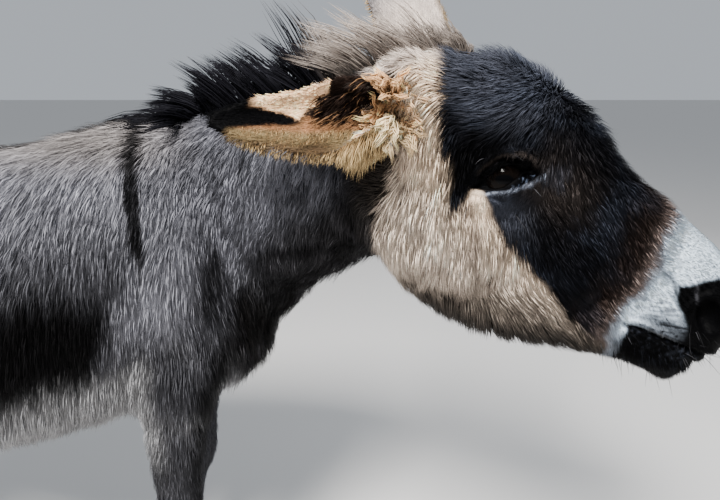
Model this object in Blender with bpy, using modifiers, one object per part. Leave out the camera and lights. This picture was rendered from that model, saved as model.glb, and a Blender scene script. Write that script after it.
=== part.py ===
"""A standing donkey in its winter coat, life size, with its head stretched forward and turned to its right.

+X runs forward along the trunk, +Y to the animal's left and +Z up. The soles stand on z = 0.
The flesh is built as lofts and rounded muscles, made one skin, and then parted by thin cuts.
"""

import math

import bmesh
import bpy
from mathutils import Matrix, Vector

# ---------------------------------------------------------------- driving sizes, in metres
WITHERS_HEIGHT = 1.055
CUT = 0.0003            # the gap that a cut leaves between two parts
VOXEL = 0.006           # the grain of the skin while its forms are being joined
SMOOTH_PASSES = 9
RING_POINTS = 28
STEPS = 4               # rings made between two stations
HEAD_TRIANGLES = 1500   # before its openings are cut
LEG_TRIANGLES = 1200    # of the four legs together
REST_TRIANGLES = 1600   # of the trunk, neck and tail

HEAD_ORIGIN = Vector((0.437, -0.210, 1.133))   # the top of the poll
HEAD_PITCH = math.radians(39)                  # nose down
HEAD_YAW = math.radians(12)                    # towards the animal's right

FORE_SPREAD = 0.118     # from the middle plane to a foreleg's middle
HIND_SPREAD = 0.115
FORE_CUT = 0.515        # the height where each leg is parted from the trunk
HIND_CUT = 0.500
HOOF_HEIGHT = 0.050
HOOF_SLOPE = math.radians(-14)

EYE_RADIUS = 0.0205
EYE_PLACE = Vector((0.141, 0.0722, -0.059))     # this and the next four are in the head's own frame
LID_RADIUS = 0.0240
NOSTRIL_PLACE = Vector((0.420, 0.053, -0.029))
MOUTH_CORNER = (0.362, -0.098)                  # along, up
MOUTH_FRONT = (0.505, -0.051)
MOUTH_GAP = 0.005
EAR_WALL = 0.008
EAR_BOW = 0.006
MANE_THICK = 0.034

LEFT = Vector((0, 1, 0))
UP = Vector((0, 0, 1))
GREY = (0.105, 0.100, 0.100)
DARK = (0.030, 0.027, 0.028)


def frame_of(origin, forward, left):
    """A matrix whose X, Y and Z are forward, left and up, placed at origin."""
    forward = forward.normalized()
    up = forward.cross(left).normalized()
    left = up.cross(forward)
    matrix = Matrix((forward, left, up)).transposed().to_4x4()
    matrix.translation = origin
    return matrix


HEAD_FORWARD = Vector((math.cos(HEAD_PITCH) * math.cos(HEAD_YAW),
                       -math.cos(HEAD_PITCH) * math.sin(HEAD_YAW),
                       -math.sin(HEAD_PITCH)))
HEAD_LEFT = Vector((math.sin(HEAD_YAW), math.cos(HEAD_YAW), 0))
HEAD = frame_of(HEAD_ORIGIN, HEAD_FORWARD, HEAD_LEFT)
TO_HEAD = HEAD.inverted()


# ---------------------------------------------------------------- scene and small helpers
def clear_scene():
    for obj in list(bpy.data.objects):
        bpy.data.objects.remove(obj)


def new_collection(name):
    collection = bpy.data.collections.new(name)
    bpy.context.scene.collection.children.link(collection)
    return collection


def material(name, colour, roughness, metallic=0.0):
    made = bpy.data.materials.new(name)
    made.use_nodes = True
    shader = made.node_tree.nodes["Principled BSDF"]
    shader.inputs["Base Color"].default_value = (*colour, 1)
    shader.inputs["Roughness"].default_value = roughness
    shader.inputs["Metallic"].default_value = metallic
    return made


def new_object(name, bm, finish=None):
    """A mesh object from a bmesh, in the active collection."""
    mesh = bpy.data.meshes.new(name)
    bm.to_mesh(mesh)
    bm.free()
    obj = bpy.data.objects.new(name, mesh)
    bpy.context.collection.objects.link(obj)
    if finish:
        mesh.materials.append(finish)
    return obj


def mesh_of(obj):
    bm = bmesh.new()
    bm.from_mesh(obj.data)
    return bm


def evaluated(obj):
    """Applies every modifier of obj."""
    graph = bpy.context.evaluated_depsgraph_get()
    mesh = bpy.data.meshes.new_from_object(obj.evaluated_get(graph))
    obj.modifiers.clear()
    old = obj.data
    obj.data = mesh
    bpy.data.meshes.remove(old)
    return obj


def boolean(obj, other, operation):
    """Cuts or joins obj with other, and removes other."""
    step = obj.modifiers.new(operation.lower(), "BOOLEAN")
    step.operation = operation
    step.object = other
    evaluated(obj)
    bpy.data.objects.remove(other)
    return obj


def smooth_path(stations, steps=STEPS):
    """Rows of numbers, with rows added between them on a Catmull-Rom curve."""
    rows = []
    last = len(stations) - 1
    for i in range(last):
        a, b = stations[max(i - 1, 0)], stations[i]
        c, d = stations[i + 1], stations[min(i + 2, last)]
        for k in range(steps):
            t = k / steps
            rows.append([
                0.5 * (2 * q + (r - p) * t + (2 * p - 5 * q + 4 * r - s) * t * t
                       + (3 * q - p - 3 * r + s) * t ** 3)
                for p, q, r, s in zip(a, b, c, d)
            ])
    rows.append(list(stations[-1]))
    return rows


def oval(high, low, half_width, left, wide=0.5, square=2.2, count=RING_POINTS):
    """A closed section from high to low, widest at the share wide of its height."""
    middle = low.lerp(high, wide)
    points = []
    for i in range(count):
        turn = 2 * math.pi * i / count
        across = math.copysign(abs(math.cos(turn)) ** (2 / square), math.cos(turn))
        along = math.copysign(abs(math.sin(turn)) ** (2 / square), math.sin(turn))
        reach = (high - middle) if along > 0 else (middle - low)
        points.append(middle + reach * along + left * (half_width * across))
    return points


def loft(name, rings, finish=None):
    """A closed skin over a row of sections that have the same number of points."""
    bm = bmesh.new()
    rows = [[bm.verts.new(point) for point in ring] for ring in rings]
    count = len(rows[0])
    for near, far in zip(rows, rows[1:]):
        for i in range(count):
            j = (i + 1) % count
            bm.faces.new((near[i], near[j], far[j], far[i]))
    bm.faces.new(rows[0][::-1])
    bm.faces.new(rows[-1])
    bmesh.ops.recalc_face_normals(bm, faces=bm.faces)
    return new_object(name, bm, finish)


def muscle(name, place, radii, frame=None, pitch=0.0, roll=0.0, segments=28):
    """A rounded mass: a sphere stretched to its three radii, turned about Y by pitch and X by roll."""
    bm = bmesh.new()
    bmesh.ops.create_uvsphere(bm, u_segments=segments, v_segments=segments * 2 // 3, radius=1)
    turn = Matrix.Rotation(pitch, 4, "Y") @ Matrix.Rotation(roll, 4, "X")
    where = Matrix.Translation(place) @ turn @ Matrix.Diagonal((*radii, 1))
    bmesh.ops.transform(bm, matrix=(frame or Matrix()) @ where, verts=bm.verts)
    return new_object(name, bm)


def both_sides(name, place, radii, frame=None, pitch=0.0, roll=0.0, segments=28):
    """The same muscle on the right and on the left."""
    x, y, z = place
    return [muscle(f"{name}_{side}", (x, sign * y, z), radii, frame, pitch, sign * roll, segments)
            for side, sign in (("left", 1), ("right", -1))]


# ---------------------------------------------------------------- the forms of the flesh
def trunk_forms():
    """The barrel from the buttocks to the chest, with the shoulders and the haunches."""
    # x, back, belly, half width, share of the height where it is widest
    stations = [
        (-0.872, 0.880, 0.800, 0.035, 0.50),
        (-0.848, 0.930, 0.705, 0.105, 0.50),
        (-0.790, 0.978, 0.620, 0.165, 0.52),
        (-0.700, 1.014, 0.565, 0.198, 0.52),
        (-0.590, 1.028, 0.530, 0.215, 0.50),
        (-0.460, 1.017, 0.505, 0.240, 0.46),
        (-0.330, 1.006, 0.498, 0.250, 0.44),
        (-0.200, 1.014, 0.508, 0.240, 0.44),
        (-0.090, 1.040, 0.534, 0.212, 0.45),
        (0.010, WITHERS_HEIGHT, 0.560, 0.184, 0.46),
        (0.085, 1.040, 0.575, 0.165, 0.46),
        (0.140, 0.980, 0.600, 0.142, 0.46),
        (0.178, 0.905, 0.640, 0.110, 0.46),
        (0.198, 0.820, 0.690, 0.060, 0.46),
    ]
    rings = [oval(Vector((x, 0, back)), Vector((x, 0, belly)), width, LEFT, wide)
             for x, back, belly, width, wide in smooth_path(stations)]
    return [
        loft("barrel", rings),
        *both_sides("shoulder", (0.035, 0.106, 0.785), (0.100, 0.076, 0.190), pitch=0.35),
        *both_sides("upper_arm", (0.030, 0.122, 0.655), (0.078, 0.060, 0.105), pitch=-0.35),
        *both_sides("breast", (0.120, 0.062, 0.700), (0.070, 0.066, 0.090)),
        *both_sides("haunch", (-0.700, 0.104, 0.770), (0.150, 0.096, 0.195), pitch=-0.25),
        *both_sides("stifle", (-0.618, 0.118, 0.640), (0.088, 0.058, 0.115), pitch=0.35),
    ]


def neck_forms():
    """The neck, from inside the shoulders to inside the head, swinging to the right."""
    # crest x, y, z, throat x, y, z, half width
    stations = [
        (-0.010, 0.000, 1.030, 0.140, 0.000, 0.690, 0.125),
        (0.082, 0.000, 1.066, 0.216, -0.005, 0.705, 0.132),
        (0.172, -0.050, 1.082, 0.246, -0.055, 0.762, 0.114),
        (0.252, -0.102, 1.098, 0.298, -0.112, 0.808, 0.098),
        (0.326, -0.148, 1.116, 0.358, -0.160, 0.852, 0.088),
        (0.400, -0.190, 1.128, 0.430, -0.196, 0.900, 0.078),
    ]
    rows = smooth_path(stations)
    rings = []
    for i, row in enumerate(rows):
        before, after = rows[max(i - 1, 0)], rows[min(i + 1, len(rows) - 1)]
        crest, throat = Vector(row[:3]), Vector(row[3:6])
        ahead = Vector(after[:3]) - Vector(before[:3]) + Vector(after[3:6]) - Vector(before[3:6])
        left = (crest - throat).cross(ahead).normalized()
        rings.append(oval(crest, throat, row[6], left, 0.48, 2.1))
    return [loft("neck_loft", rings)]


def head_forms():
    """The skull and muzzle, the lower jaw, and the rounded masses of the face, in the head's frame."""
    # along, forehead or nose, underside, half width, share of the height where it is widest
    upper = [
        (-0.030, -0.030, -0.120, 0.045, 0.50),
        (0.000, 0.002, -0.150, 0.066, 0.52),
        (0.050, 0.030, -0.170, 0.080, 0.56),
        (0.105, 0.046, -0.185, 0.086, 0.60),
        (0.150, 0.054, -0.185, 0.085, 0.62),
        (0.190, 0.048, -0.175, 0.076, 0.60),
        (0.222, 0.038, -0.160, 0.068, 0.58),
        (0.275, 0.034, -0.130, 0.059, 0.55),
        (0.335, 0.035, -0.106, 0.053, 0.52),
        (0.385, 0.034, -0.094, 0.053, 0.48),
        (0.425, 0.026, -0.086, 0.051, 0.46),
        (0.456, 0.007, -0.082, 0.043, 0.44),
        (0.474, -0.022, -0.075, 0.028, 0.42),
    ]
    lower = [
        (0.085, -0.100, -0.215, 0.054, 0.50),
        (0.120, -0.090, -0.248, 0.062, 0.50),
        (0.170, -0.085, -0.256, 0.060, 0.48),
        (0.225, -0.085, -0.245, 0.055, 0.48),
        (0.290, -0.080, -0.217, 0.050, 0.50),
        (0.345, -0.075, -0.181, 0.046, 0.52),
        (0.385, -0.072, -0.150, 0.043, 0.52),
        (0.420, -0.070, -0.132, 0.043, 0.50),
        (0.450, -0.068, -0.121, 0.038, 0.50),
        (0.470, -0.074, -0.104, 0.024, 0.50),
    ]

    def rings(stations, square):
        return [[HEAD @ point for point in
                 oval(Vector((along, 0, top)), Vector((along, 0, under)), width, LEFT, wide, square)]
                for along, top, under, width, wide in smooth_path(stations)]

    return [
        loft("skull", rings(upper, 2.3)),
        loft("jaw", rings(lower, 2.2)),
        *both_sides("cheek", (0.140, 0.046, -0.135), (0.085, 0.044, 0.100), HEAD, pitch=0.55),
        *both_sides("brow", (0.138, 0.068, -0.032), (0.040, 0.028, 0.022), HEAD, pitch=0.45),
        *both_sides("lid", tuple(EYE_PLACE), (LID_RADIUS, LID_RADIUS, LID_RADIUS), HEAD),
        *both_sides("cheekbone", (0.205, 0.050, -0.084), (0.110, 0.026, 0.026), HEAD, pitch=0.12),
        *both_sides("cheek_front", (0.240, 0.026, -0.120), (0.105, 0.036, 0.056), HEAD, pitch=0.30),
        *both_sides("nostril_wing", (0.420, 0.039, -0.020), (0.036, 0.021, 0.028), HEAD, pitch=0.5),
        *both_sides("ear_root", (0.000, 0.050, -0.055), (0.042, 0.030, 0.044), HEAD),
        *both_sides("mouth_corner", (0.352, 0.040, -0.108), (0.030, 0.014, 0.026), HEAD),
        muscle("upper_lip", (0.446, 0, -0.052), (0.032, 0.041, 0.034), HEAD),
        muscle("chin", (0.428, 0, -0.102), (0.047, 0.034, 0.024), HEAD, pitch=0.25),
        muscle("forehead", (0.110, 0, 0.016), (0.080, 0.058, 0.038), HEAD, pitch=0.0),
        muscle("throat", (0.050, 0, -0.150), (0.075, 0.056, 0.080), HEAD, pitch=0.6),
    ]


def face_cutters():
    """The slit of the mouth and the two nostrils, in the head's frame."""
    corner, front = MOUTH_CORNER, MOUTH_FRONT
    bm = bmesh.new()
    bmesh.ops.create_cube(bm, size=1)
    for vertex in bm.verts:
        back = vertex.co.x < 0
        u, v = corner if back else front
        half = 0.0006 if back else MOUTH_GAP / 2
        vertex.co = HEAD @ Vector((u, 0.2 * vertex.co.y, v + math.copysign(half, vertex.co.z)))
    bmesh.ops.recalc_face_normals(bm, faces=bm.faces)
    slit = new_object("mouth_slit", bm)
    return [slit, *both_sides("nostril_hole", tuple(NOSTRIL_PLACE), (0.023, 0.019, 0.0115), HEAD, pitch=0.62,
                              roll=0.35, segments=14)]


def lid_opening(side):
    """An almond, its back corner lower than its front one, that opens the lids in front of the eyeball."""
    x, y, z = EYE_PLACE
    sign = 1 if side == "left" else -1
    return muscle("lid_opening", (x, sign * (y + LID_RADIUS * 0.85), z), (0.0275, 0.017, 0.0125), HEAD, pitch=-0.95,
                  segments=14)


def leg_forms(name, stations, side, shift):
    """One leg down to the coronet. shift is how far its foot stands ahead of the first station's line."""
    # x, z, half depth, half width
    top, ground = stations[0][1], stations[-1][1]
    rings = []
    for x, z, depth, width in smooth_path(stations):
        middle = Vector((x + shift * (top - z) / (top - ground), side, z))
        rings.append(oval(middle + Vector((depth, 0, 0)), middle - Vector((depth, 0, 0)), width, LEFT, 0.5, 2.1))
    return loft(name, rings)


FORE_STATIONS = [
    (0.055, 0.700, 0.080, 0.050),
    (0.042, 0.620, 0.070, 0.050),
    (0.034, 0.560, 0.058, 0.047),
    (0.028, 0.490, 0.049, 0.041),
    (0.026, 0.420, 0.044, 0.037),
    (0.028, 0.365, 0.043, 0.040),
    (0.027, 0.320, 0.041, 0.039),
    (0.019, 0.280, 0.033, 0.032),
    (0.018, 0.200, 0.028, 0.026),
    (0.018, 0.135, 0.029, 0.027),
    (0.016, 0.105, 0.036, 0.032),
    (0.024, 0.078, 0.029, 0.029),
    (0.036, 0.050, 0.034, 0.033),
    (0.042, 0.028, 0.034, 0.033),
]
HIND_STATIONS = [
    (-0.705, 0.760, 0.130, 0.062),
    (-0.692, 0.680, 0.128, 0.068),
    (-0.685, 0.600, 0.108, 0.062),
    (-0.706, 0.530, 0.080, 0.052),
    (-0.744, 0.465, 0.057, 0.042),
    (-0.776, 0.415, 0.047, 0.037),
    (-0.784, 0.370, 0.045, 0.036),
    (-0.778, 0.325, 0.036, 0.031),
    (-0.776, 0.235, 0.029, 0.027),
    (-0.776, 0.145, 0.030, 0.028),
    (-0.778, 0.110, 0.036, 0.032),
    (-0.768, 0.080, 0.029, 0.029),
    (-0.753, 0.050, 0.034, 0.032),
    (-0.747, 0.028, 0.034, 0.032),
]
LEGS = {
    # name: stations, side, foot's shift, height of the cut
    "leg_front_right": (FORE_STATIONS, -FORE_SPREAD, 0.000, FORE_CUT),
    "leg_front_left": (FORE_STATIONS, FORE_SPREAD, -0.085, FORE_CUT),
    "leg_hind_right": (HIND_STATIONS, -HIND_SPREAD, 0.055, HIND_CUT),
    "leg_hind_left": (HIND_STATIONS, HIND_SPREAD, -0.035, HIND_CUT),
}


def point_on_leg(name, height):
    """The middle of a leg at a height."""
    stations, side, shift, _ = LEGS[name]
    top, ground = stations[0][1], stations[-1][1]
    below = next(i for i, row in enumerate(stations) if row[1] <= height)
    a, b = stations[max(below - 1, 0)], stations[below]
    share = (a[1] - height) / (a[1] - b[1]) if a is not b else 0.0
    x = a[0] + (b[0] - a[0]) * share
    return Vector((x + shift * (top - height) / (top - ground), side, height))


def hock_points():
    """The heel bone that stands out behind each hock."""
    return [muscle(f"hock_{name}", point_on_leg(name, 0.405) + Vector((-0.034, 0, 0)),
                   (0.022, 0.020, 0.040), pitch=0.1)
            for name in LEGS if "hind" in name]


TAIL_STATIONS = [
    # x, z, radius
    (-0.800, 0.950, 0.036),
    (-0.868, 0.944, 0.035),
    (-0.918, 0.898, 0.031),
    (-0.936, 0.815, 0.027),
    (-0.938, 0.715, 0.024),
    (-0.936, 0.600, 0.023),
]
TUFT_STATIONS = [
    (-0.936, 0.598, 0.022),
    (-0.936, 0.550, 0.031),
    (-0.934, 0.460, 0.037),
    (-0.930, 0.370, 0.029),
    (-0.926, 0.310, 0.010),
]


def tube(name, stations, finish=None, squash=1.0):
    """A round, tapered length in the middle plane, through stations of x, z and radius."""
    rows = smooth_path(stations, 2)
    rings = []
    for i, (x, z, radius) in enumerate(rows):
        before, after = rows[max(i - 1, 0)], rows[min(i + 1, len(rows) - 1)]
        ahead = Vector((after[0] - before[0], 0, after[1] - before[1])).normalized()
        out = ahead.cross(LEFT)
        middle = Vector((x, 0, z))
        rings.append(oval(middle + out * radius, middle - out * radius, radius * squash, LEFT, 0.5, 2.0, 14))
    return loft(name, rings, finish)


# ---------------------------------------------------------------- one skin, then the cuts
def join(objects, name):
    bm = bmesh.new()
    for obj in objects:
        bm.from_mesh(obj.data)
        bpy.data.objects.remove(obj)
    return new_object(name, bm)


def on_head(point):
    along, across, up = TO_HEAD @ point
    return along > -0.03 and up > -0.28 and abs(across) < 0.14


def on_leg(point):
    return point.z < 0.5 and not on_head(point)


def on_rest(point):
    return not on_head(point) and not on_leg(point)


def reduce(obj, inside, triangles):
    """Collapses edges in the region that inside(point) tells of, until about triangles are left there."""
    group = obj.vertex_groups.new(name="region")
    for vertex in obj.data.vertices:
        group.add([vertex.index], float(inside(vertex.co)), "REPLACE")
    sizes = [(len(face.vertices) - 2, inside(face.center)) for face in obj.data.polygons]
    whole, there = sum(size for size, _ in sizes), sum(size for size, within in sizes if within)
    step = obj.modifiers.new("reduce", "DECIMATE")
    step.ratio = (whole - there + triangles) / whole
    step.vertex_group = group.name
    step.vertex_group_factor = 1.0
    step.use_collapse_triangulate = True
    evaluated(obj)
    obj.vertex_groups.clear()


def whole_body():
    forms = trunk_forms() + neck_forms() + head_forms() + hock_points() + [tube("dock", TAIL_STATIONS)]
    forms += [leg_forms(name, *facts[:3]) for name, facts in LEGS.items()]
    body = join(forms, "body")
    step = body.modifiers.new("one_skin", "REMESH")
    step.mode = "VOXEL"
    step.voxel_size = VOXEL
    step = body.modifiers.new("soften", "SMOOTH")
    step.factor = 0.5
    step.iterations = SMOOTH_PASSES
    evaluated(body)
    for inside, triangles in ((on_head, HEAD_TRIANGLES), (on_leg, LEG_TRIANGLES), (on_rest, REST_TRIANGLES)):
        reduce(body, inside, triangles)
    return body


def plate(place, normal, size):
    """A plate as thick as the cut, across normal."""
    bpy.ops.mesh.primitive_cube_add(size=1)
    obj = bpy.context.object
    obj.name = "cutter"
    turn = normal.to_track_quat("Z", "Y").to_matrix().to_4x4()
    obj.data.transform(Matrix.Translation(place) @ turn @ Matrix.Diagonal((size, size, CUT, 1)))
    return obj


def cut_planes():
    """Where the body is parted: place, direction across the cut, and width of the plate."""
    hoof_normal = Matrix.Rotation(HOOF_SLOPE, 3, "Y") @ UP
    cuts = [
        (Vector((0.358, -0.175, 0.990)), Vector((0.925, -0.360, 0.110)), 0.42),
        (Vector((0.142, -0.010, 0.890)), Vector((0.890, -0.120, 0.420)), 0.56),
        (Vector((-0.902, 0, 0.917)), Vector((-0.74, 0, -0.67)), 0.14),
    ]
    for name, (_, _, _, height) in LEGS.items():
        cuts.append((point_on_leg(name, height), UP, 0.19))
        cuts.append((point_on_leg(name, HOOF_HEIGHT), hoof_normal, 0.12))
    return cuts


def part_body(body):
    """Cuts the body and returns its pieces, the trunk first, then by place."""
    for place, normal, size in cut_planes():
        boolean(body, plate(place, normal, size), "DIFFERENCE")
    bpy.ops.object.select_all(action="DESELECT")
    body.select_set(True)
    bpy.context.view_layer.objects.active = body
    bpy.ops.object.mode_set(mode="EDIT")
    bpy.ops.mesh.separate(type="LOOSE")
    bpy.ops.object.mode_set(mode="OBJECT")
    return list(bpy.context.selected_objects)


def middle_of(obj):
    corners = [obj.matrix_world @ Vector(corner) for corner in obj.bound_box]
    return sum(corners, Vector()) / 8


def name_pieces(pieces, finish):
    """Gives each piece the name of the place that it lies nearest, and drops the stubs inside the hooves."""
    places = {
        "trunk": Vector((-0.32, 0, 0.76)),
        "neck": Vector((0.23, -0.08, 0.93)),
        "head": Vector((0.58, -0.24, 0.96)),
        "tail": Vector((-0.93, 0, 0.76)),
    }
    for leg in LEGS:
        places[leg] = point_on_leg(leg, 0.28)
    named = {}
    for piece in pieces:
        if max(piece.dimensions) < 0.1:
            bpy.data.objects.remove(piece)
            continue
        name = min(places, key=lambda key: (places[key] - middle_of(piece)).length)
        piece.name = name
        piece.data.name = name
        piece.data.materials.clear()
        piece.data.materials.append(finish)
        named[name] = piece
    return named


# ---------------------------------------------------------------- the separate pieces
def copy_of(obj):
    copy = bpy.data.objects.new("cutter", obj.data.copy())
    bpy.context.collection.objects.link(copy)
    return copy


def grown_copy(obj, by):
    """A copy of obj whose surface stands by further out, used to cut a neighbour clear of it."""
    copy = copy_of(obj)
    step = copy.modifiers.new("grow", "DISPLACE")
    step.strength = by
    step.mid_level = 0.0
    return evaluated(copy)


def keep_largest(obj):
    """Drops every loose scrap of obj except the one with the most faces."""
    bm = mesh_of(obj)
    left, islands = set(bm.verts), []
    while left:
        island, edge = set(), [left.pop()]
        while edge:
            vertex = edge.pop()
            island.add(vertex)
            near = {e.other_vert(vertex) for e in vertex.link_edges} & left
            left -= near
            edge += list(near)
        islands.append(island)
    islands.sort(key=len)
    bmesh.ops.delete(bm, geom=[vertex for island in islands[:-1] for vertex in island], context="VERTS")
    bm.to_mesh(obj.data)
    bm.free()


def eye(side, finish):
    """An eyeball that fills its socket, with its front between the lids."""
    sign = 1 if side == "left" else -1
    x, y, z = EYE_PLACE
    bpy.ops.mesh.primitive_uv_sphere_add(segments=16, ring_count=8, radius=EYE_RADIUS)
    ball = bpy.context.object
    ball.name = f"eye_{side}"
    turn = HEAD.to_3x3().to_4x4()
    ball.data.transform(turn @ Matrix.Rotation(math.pi / 2, 4, "X"))
    ball.location = HEAD @ Vector((x, sign * y, z))
    ball.data.materials.append(finish)
    bpy.context.view_layer.update()
    return ball


def socket_for(ball):
    """A ball a little larger than the eye, in the same place."""
    cutter = new_object("socket", mesh_of(ball))
    cutter.data.transform(Matrix.Translation(ball.location) @ Matrix.Scale(1 + 2 * CUT / EYE_RADIUS, 4))
    return cutter


EARS = (
    # side, root, tip, the way its hollow faces
    ("right", HEAD @ Vector((0.012, -0.070, -0.086)), Vector((0.163, -0.250, 1.058)), Vector((0.05, -1.0, 0.40))),
    ("left", HEAD @ Vector((0.004, 0.052, -0.036)), Vector((0.345, -0.010, 1.345)), Vector((0.45, 0.90, 0.0))),
)


def ear_half_width(t):
    """Half the width of the ear, by the share t of its length: a tube at the root, a long leaf above it."""
    widths = smooth_path([(0.029,), (0.038,), (0.042,), (0.039,), (0.032,), (0.023,), (0.006,)], 8)
    place = t * (len(widths) - 1)
    i = min(int(place), len(widths) - 2)
    return widths[i][0] + (widths[i + 1][0] - widths[i][0]) * (place - i)


def ear(side, root, tip, opening, finish):
    """A long leaf rolled into a cup, closed round at its root, whose hollow faces opening."""
    length = (tip - root).length
    along = (tip - root).normalized()
    back = -(opening - along * opening.dot(along)).normalized()
    across = along.cross(back)
    rows, columns = 10, 7
    bm = bmesh.new()
    grid = []
    for i in range(rows + 1):
        t = i / rows
        wrap = math.radians(165 - 105 * min(t * 2.2, 1))   # half the angle that the cup wraps round
        radius = ear_half_width(t) / math.sin(min(wrap, math.pi / 2))
        middle = root + along * (length * t) + back * (EAR_BOW * math.sin(math.pi * t))
        row = []
        for k in range(columns):
            angle = wrap * (2 * k / (columns - 1) - 1)
            row.append(bm.verts.new(middle + back * (radius * (math.cos(angle) - 0.4))
                                    + across * (radius * math.sin(angle))))
        grid.append(row)
    for near, far in zip(grid, grid[1:]):
        for k in range(columns - 1):
            bm.faces.new((near[k], near[k + 1], far[k + 1], far[k]))
    bmesh.ops.recalc_face_normals(bm, faces=bm.faces)
    obj = new_object(f"ear_{side}", bm, finish)
    step = obj.modifiers.new("wall", "SOLIDIFY")
    step.thickness = EAR_WALL
    step.offset = 0
    return evaluated(obj)


def mane(finish):
    """The stiff upright hair of the crest, from between the ears to the withers."""
    # x, y, z of the root, height of the hair
    stations = [
        (0.436, -0.208, 1.120, 0.012),
        (0.392, -0.188, 1.115, 0.044),
        (0.326, -0.148, 1.104, 0.064),
        (0.252, -0.102, 1.086, 0.070),
        (0.172, -0.050, 1.070, 0.060),
        (0.105, -0.012, 1.058, 0.044),
        (0.040, 0.000, 1.048, 0.020),
    ]
    rows = smooth_path(stations, 3)
    rings = []
    for i, (x, y, z, height) in enumerate(rows):
        before, after = rows[max(i - 1, 0)], rows[min(i + 1, len(rows) - 1)]
        ahead = Vector((after[0] - before[0], after[1] - before[1], 0)).normalized()
        left = ahead.cross(UP)
        root = Vector((x, y, z - 0.016))
        crown = Vector((x - 0.35 * height, y, z + height)) + left * 0.15 * height
        half = MANE_THICK / 2
        ring = []
        for share, side in ((0, -1), (0.55, -0.8), (0.9, -0.4), (1, 0), (0.9, 0.4), (0.55, 0.8), (0, 1)):
            ring.append(root.lerp(crown, share) + left * (half * side))
        rings.append(ring)
    return loft("mane", rings, finish)


def hoof(leg, finish):
    """A narrow, upright donkey's hoof, flat beneath, whose top follows the slope of the coronet."""
    top = point_on_leg(leg, HOOF_HEIGHT)
    slope = math.tan(-HOOF_SLOPE)
    rings = []
    # height, how far forward its middle lies, half length, half width
    for z, ahead, length, width in ((0.0, 0.016, 0.047, 0.038), (0.012, 0.013, 0.046, 0.038),
                                    (0.032, 0.006, 0.041, 0.036), (HOOF_HEIGHT, 0.0, 0.036, 0.034)):
        ring = []
        for i in range(20):
            turn = 2 * math.pi * i / 20
            heel = 0.85 if math.cos(turn) < 0 else 1.0
            x = length * math.cos(turn) * heel
            lift = x * slope * (z / HOOF_HEIGHT)
            ring.append(Vector((top.x + ahead + x, top.y + width * math.sin(turn), max(z + lift, 0))))
        rings.append(ring)
    for point in rings[-1]:
        point.z -= CUT
    obj = loft(leg.replace("leg", "hoof"), rings, finish)
    return obj


def settle(objects, parent):
    """Moves everything so that the middle of the box's foot is the origin, and hangs it on one empty."""
    bpy.context.view_layer.update()
    corners = [obj.matrix_world @ vertex.co for obj in objects for vertex in obj.data.vertices]
    low = Vector([min(point[i] for point in corners) for i in range(3)])
    high = Vector([max(point[i] for point in corners) for i in range(3)])
    for obj in objects:
        obj.parent = parent
    parent.location = Vector((-(low.x + high.x) / 2, -(low.y + high.y) / 2, -low.z))


def main():
    clear_scene()
    collection = new_collection("donkey")
    bpy.context.view_layer.active_layer_collection = (
        bpy.context.view_layer.layer_collection.children["donkey"])
    coat = material("grey_coat", GREY, 0.85)
    dark_hair = material("dark_hair", DARK, 0.7)
    horn = material("hoof_horn", (0.06, 0.05, 0.045), 0.5)
    wet_eye = material("wet_eye", (0.012, 0.008, 0.006), 0.08)

    body = whole_body()
    clearance = grown_copy(body, CUT)
    pieces = name_pieces(part_body(body), coat)
    head = pieces["head"]

    eyes = []
    for cutter in face_cutters():
        boolean(head, cutter, "DIFFERENCE")
    for side in ("left", "right"):
        ball = eye(side, wet_eye)
        boolean(head, lid_opening(side), "DIFFERENCE")
        boolean(head, socket_for(ball), "DIFFERENCE")
        eyes.append(ball)
    ears = [ear(*facts, dark_hair) for facts in EARS]
    crest = mane(dark_hair)
    for piece in ears + [crest]:
        boolean(piece, copy_of(clearance), "DIFFERENCE")
        keep_largest(piece)
    bpy.data.objects.remove(clearance)
    hooves = [hoof(leg, horn) for leg in LEGS]
    tuft = tube("tail_tuft", TUFT_STATIONS, dark_hair, squash=0.8)

    everything = [*pieces.values(), *eyes, *ears, crest, *hooves, tuft]
    donkey = bpy.data.objects.new("donkey", None)
    collection.objects.link(donkey)
    settle(everything, donkey)
    for obj in everything:
        obj.data.shade_smooth()
        obj.data.set_sharp_from_angle(angle=math.radians(40))


main()
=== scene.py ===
# %% [markdown]
# # A donkey in its winter coat
# A still, life-size model. One skin is made over the parts of flesh, and a coat of thin tufts grows out of
# it.

import math

import bmesh
import bpy
import numpy as np
from mathutils import Matrix, Vector
from mathutils.bvhtree import BVHTree
from mathutils.kdtree import KDTree


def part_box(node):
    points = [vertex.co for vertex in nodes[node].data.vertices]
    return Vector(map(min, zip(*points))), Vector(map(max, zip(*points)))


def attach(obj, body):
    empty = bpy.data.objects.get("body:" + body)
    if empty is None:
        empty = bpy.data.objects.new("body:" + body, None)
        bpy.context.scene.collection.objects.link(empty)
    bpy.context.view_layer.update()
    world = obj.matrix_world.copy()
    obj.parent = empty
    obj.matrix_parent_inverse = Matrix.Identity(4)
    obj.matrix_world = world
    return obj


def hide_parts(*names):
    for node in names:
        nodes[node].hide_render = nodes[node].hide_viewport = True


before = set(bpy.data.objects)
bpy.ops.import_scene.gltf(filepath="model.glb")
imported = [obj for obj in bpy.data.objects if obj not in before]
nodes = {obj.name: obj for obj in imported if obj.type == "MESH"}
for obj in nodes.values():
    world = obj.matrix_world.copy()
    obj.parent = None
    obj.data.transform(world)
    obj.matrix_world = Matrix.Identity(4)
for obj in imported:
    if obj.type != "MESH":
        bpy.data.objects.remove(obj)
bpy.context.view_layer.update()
rng = np.random.default_rng(11)
SHARE = 1.0
print(len(nodes), "parts in the frame")

# %% [markdown]
# ## Places and directions
# The head has a frame of its own: forward to the muzzle, left, and up through the forehead. It follows from
# the two eyes and the pitch of the nose. The body is measured from the foot of the withers.

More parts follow.
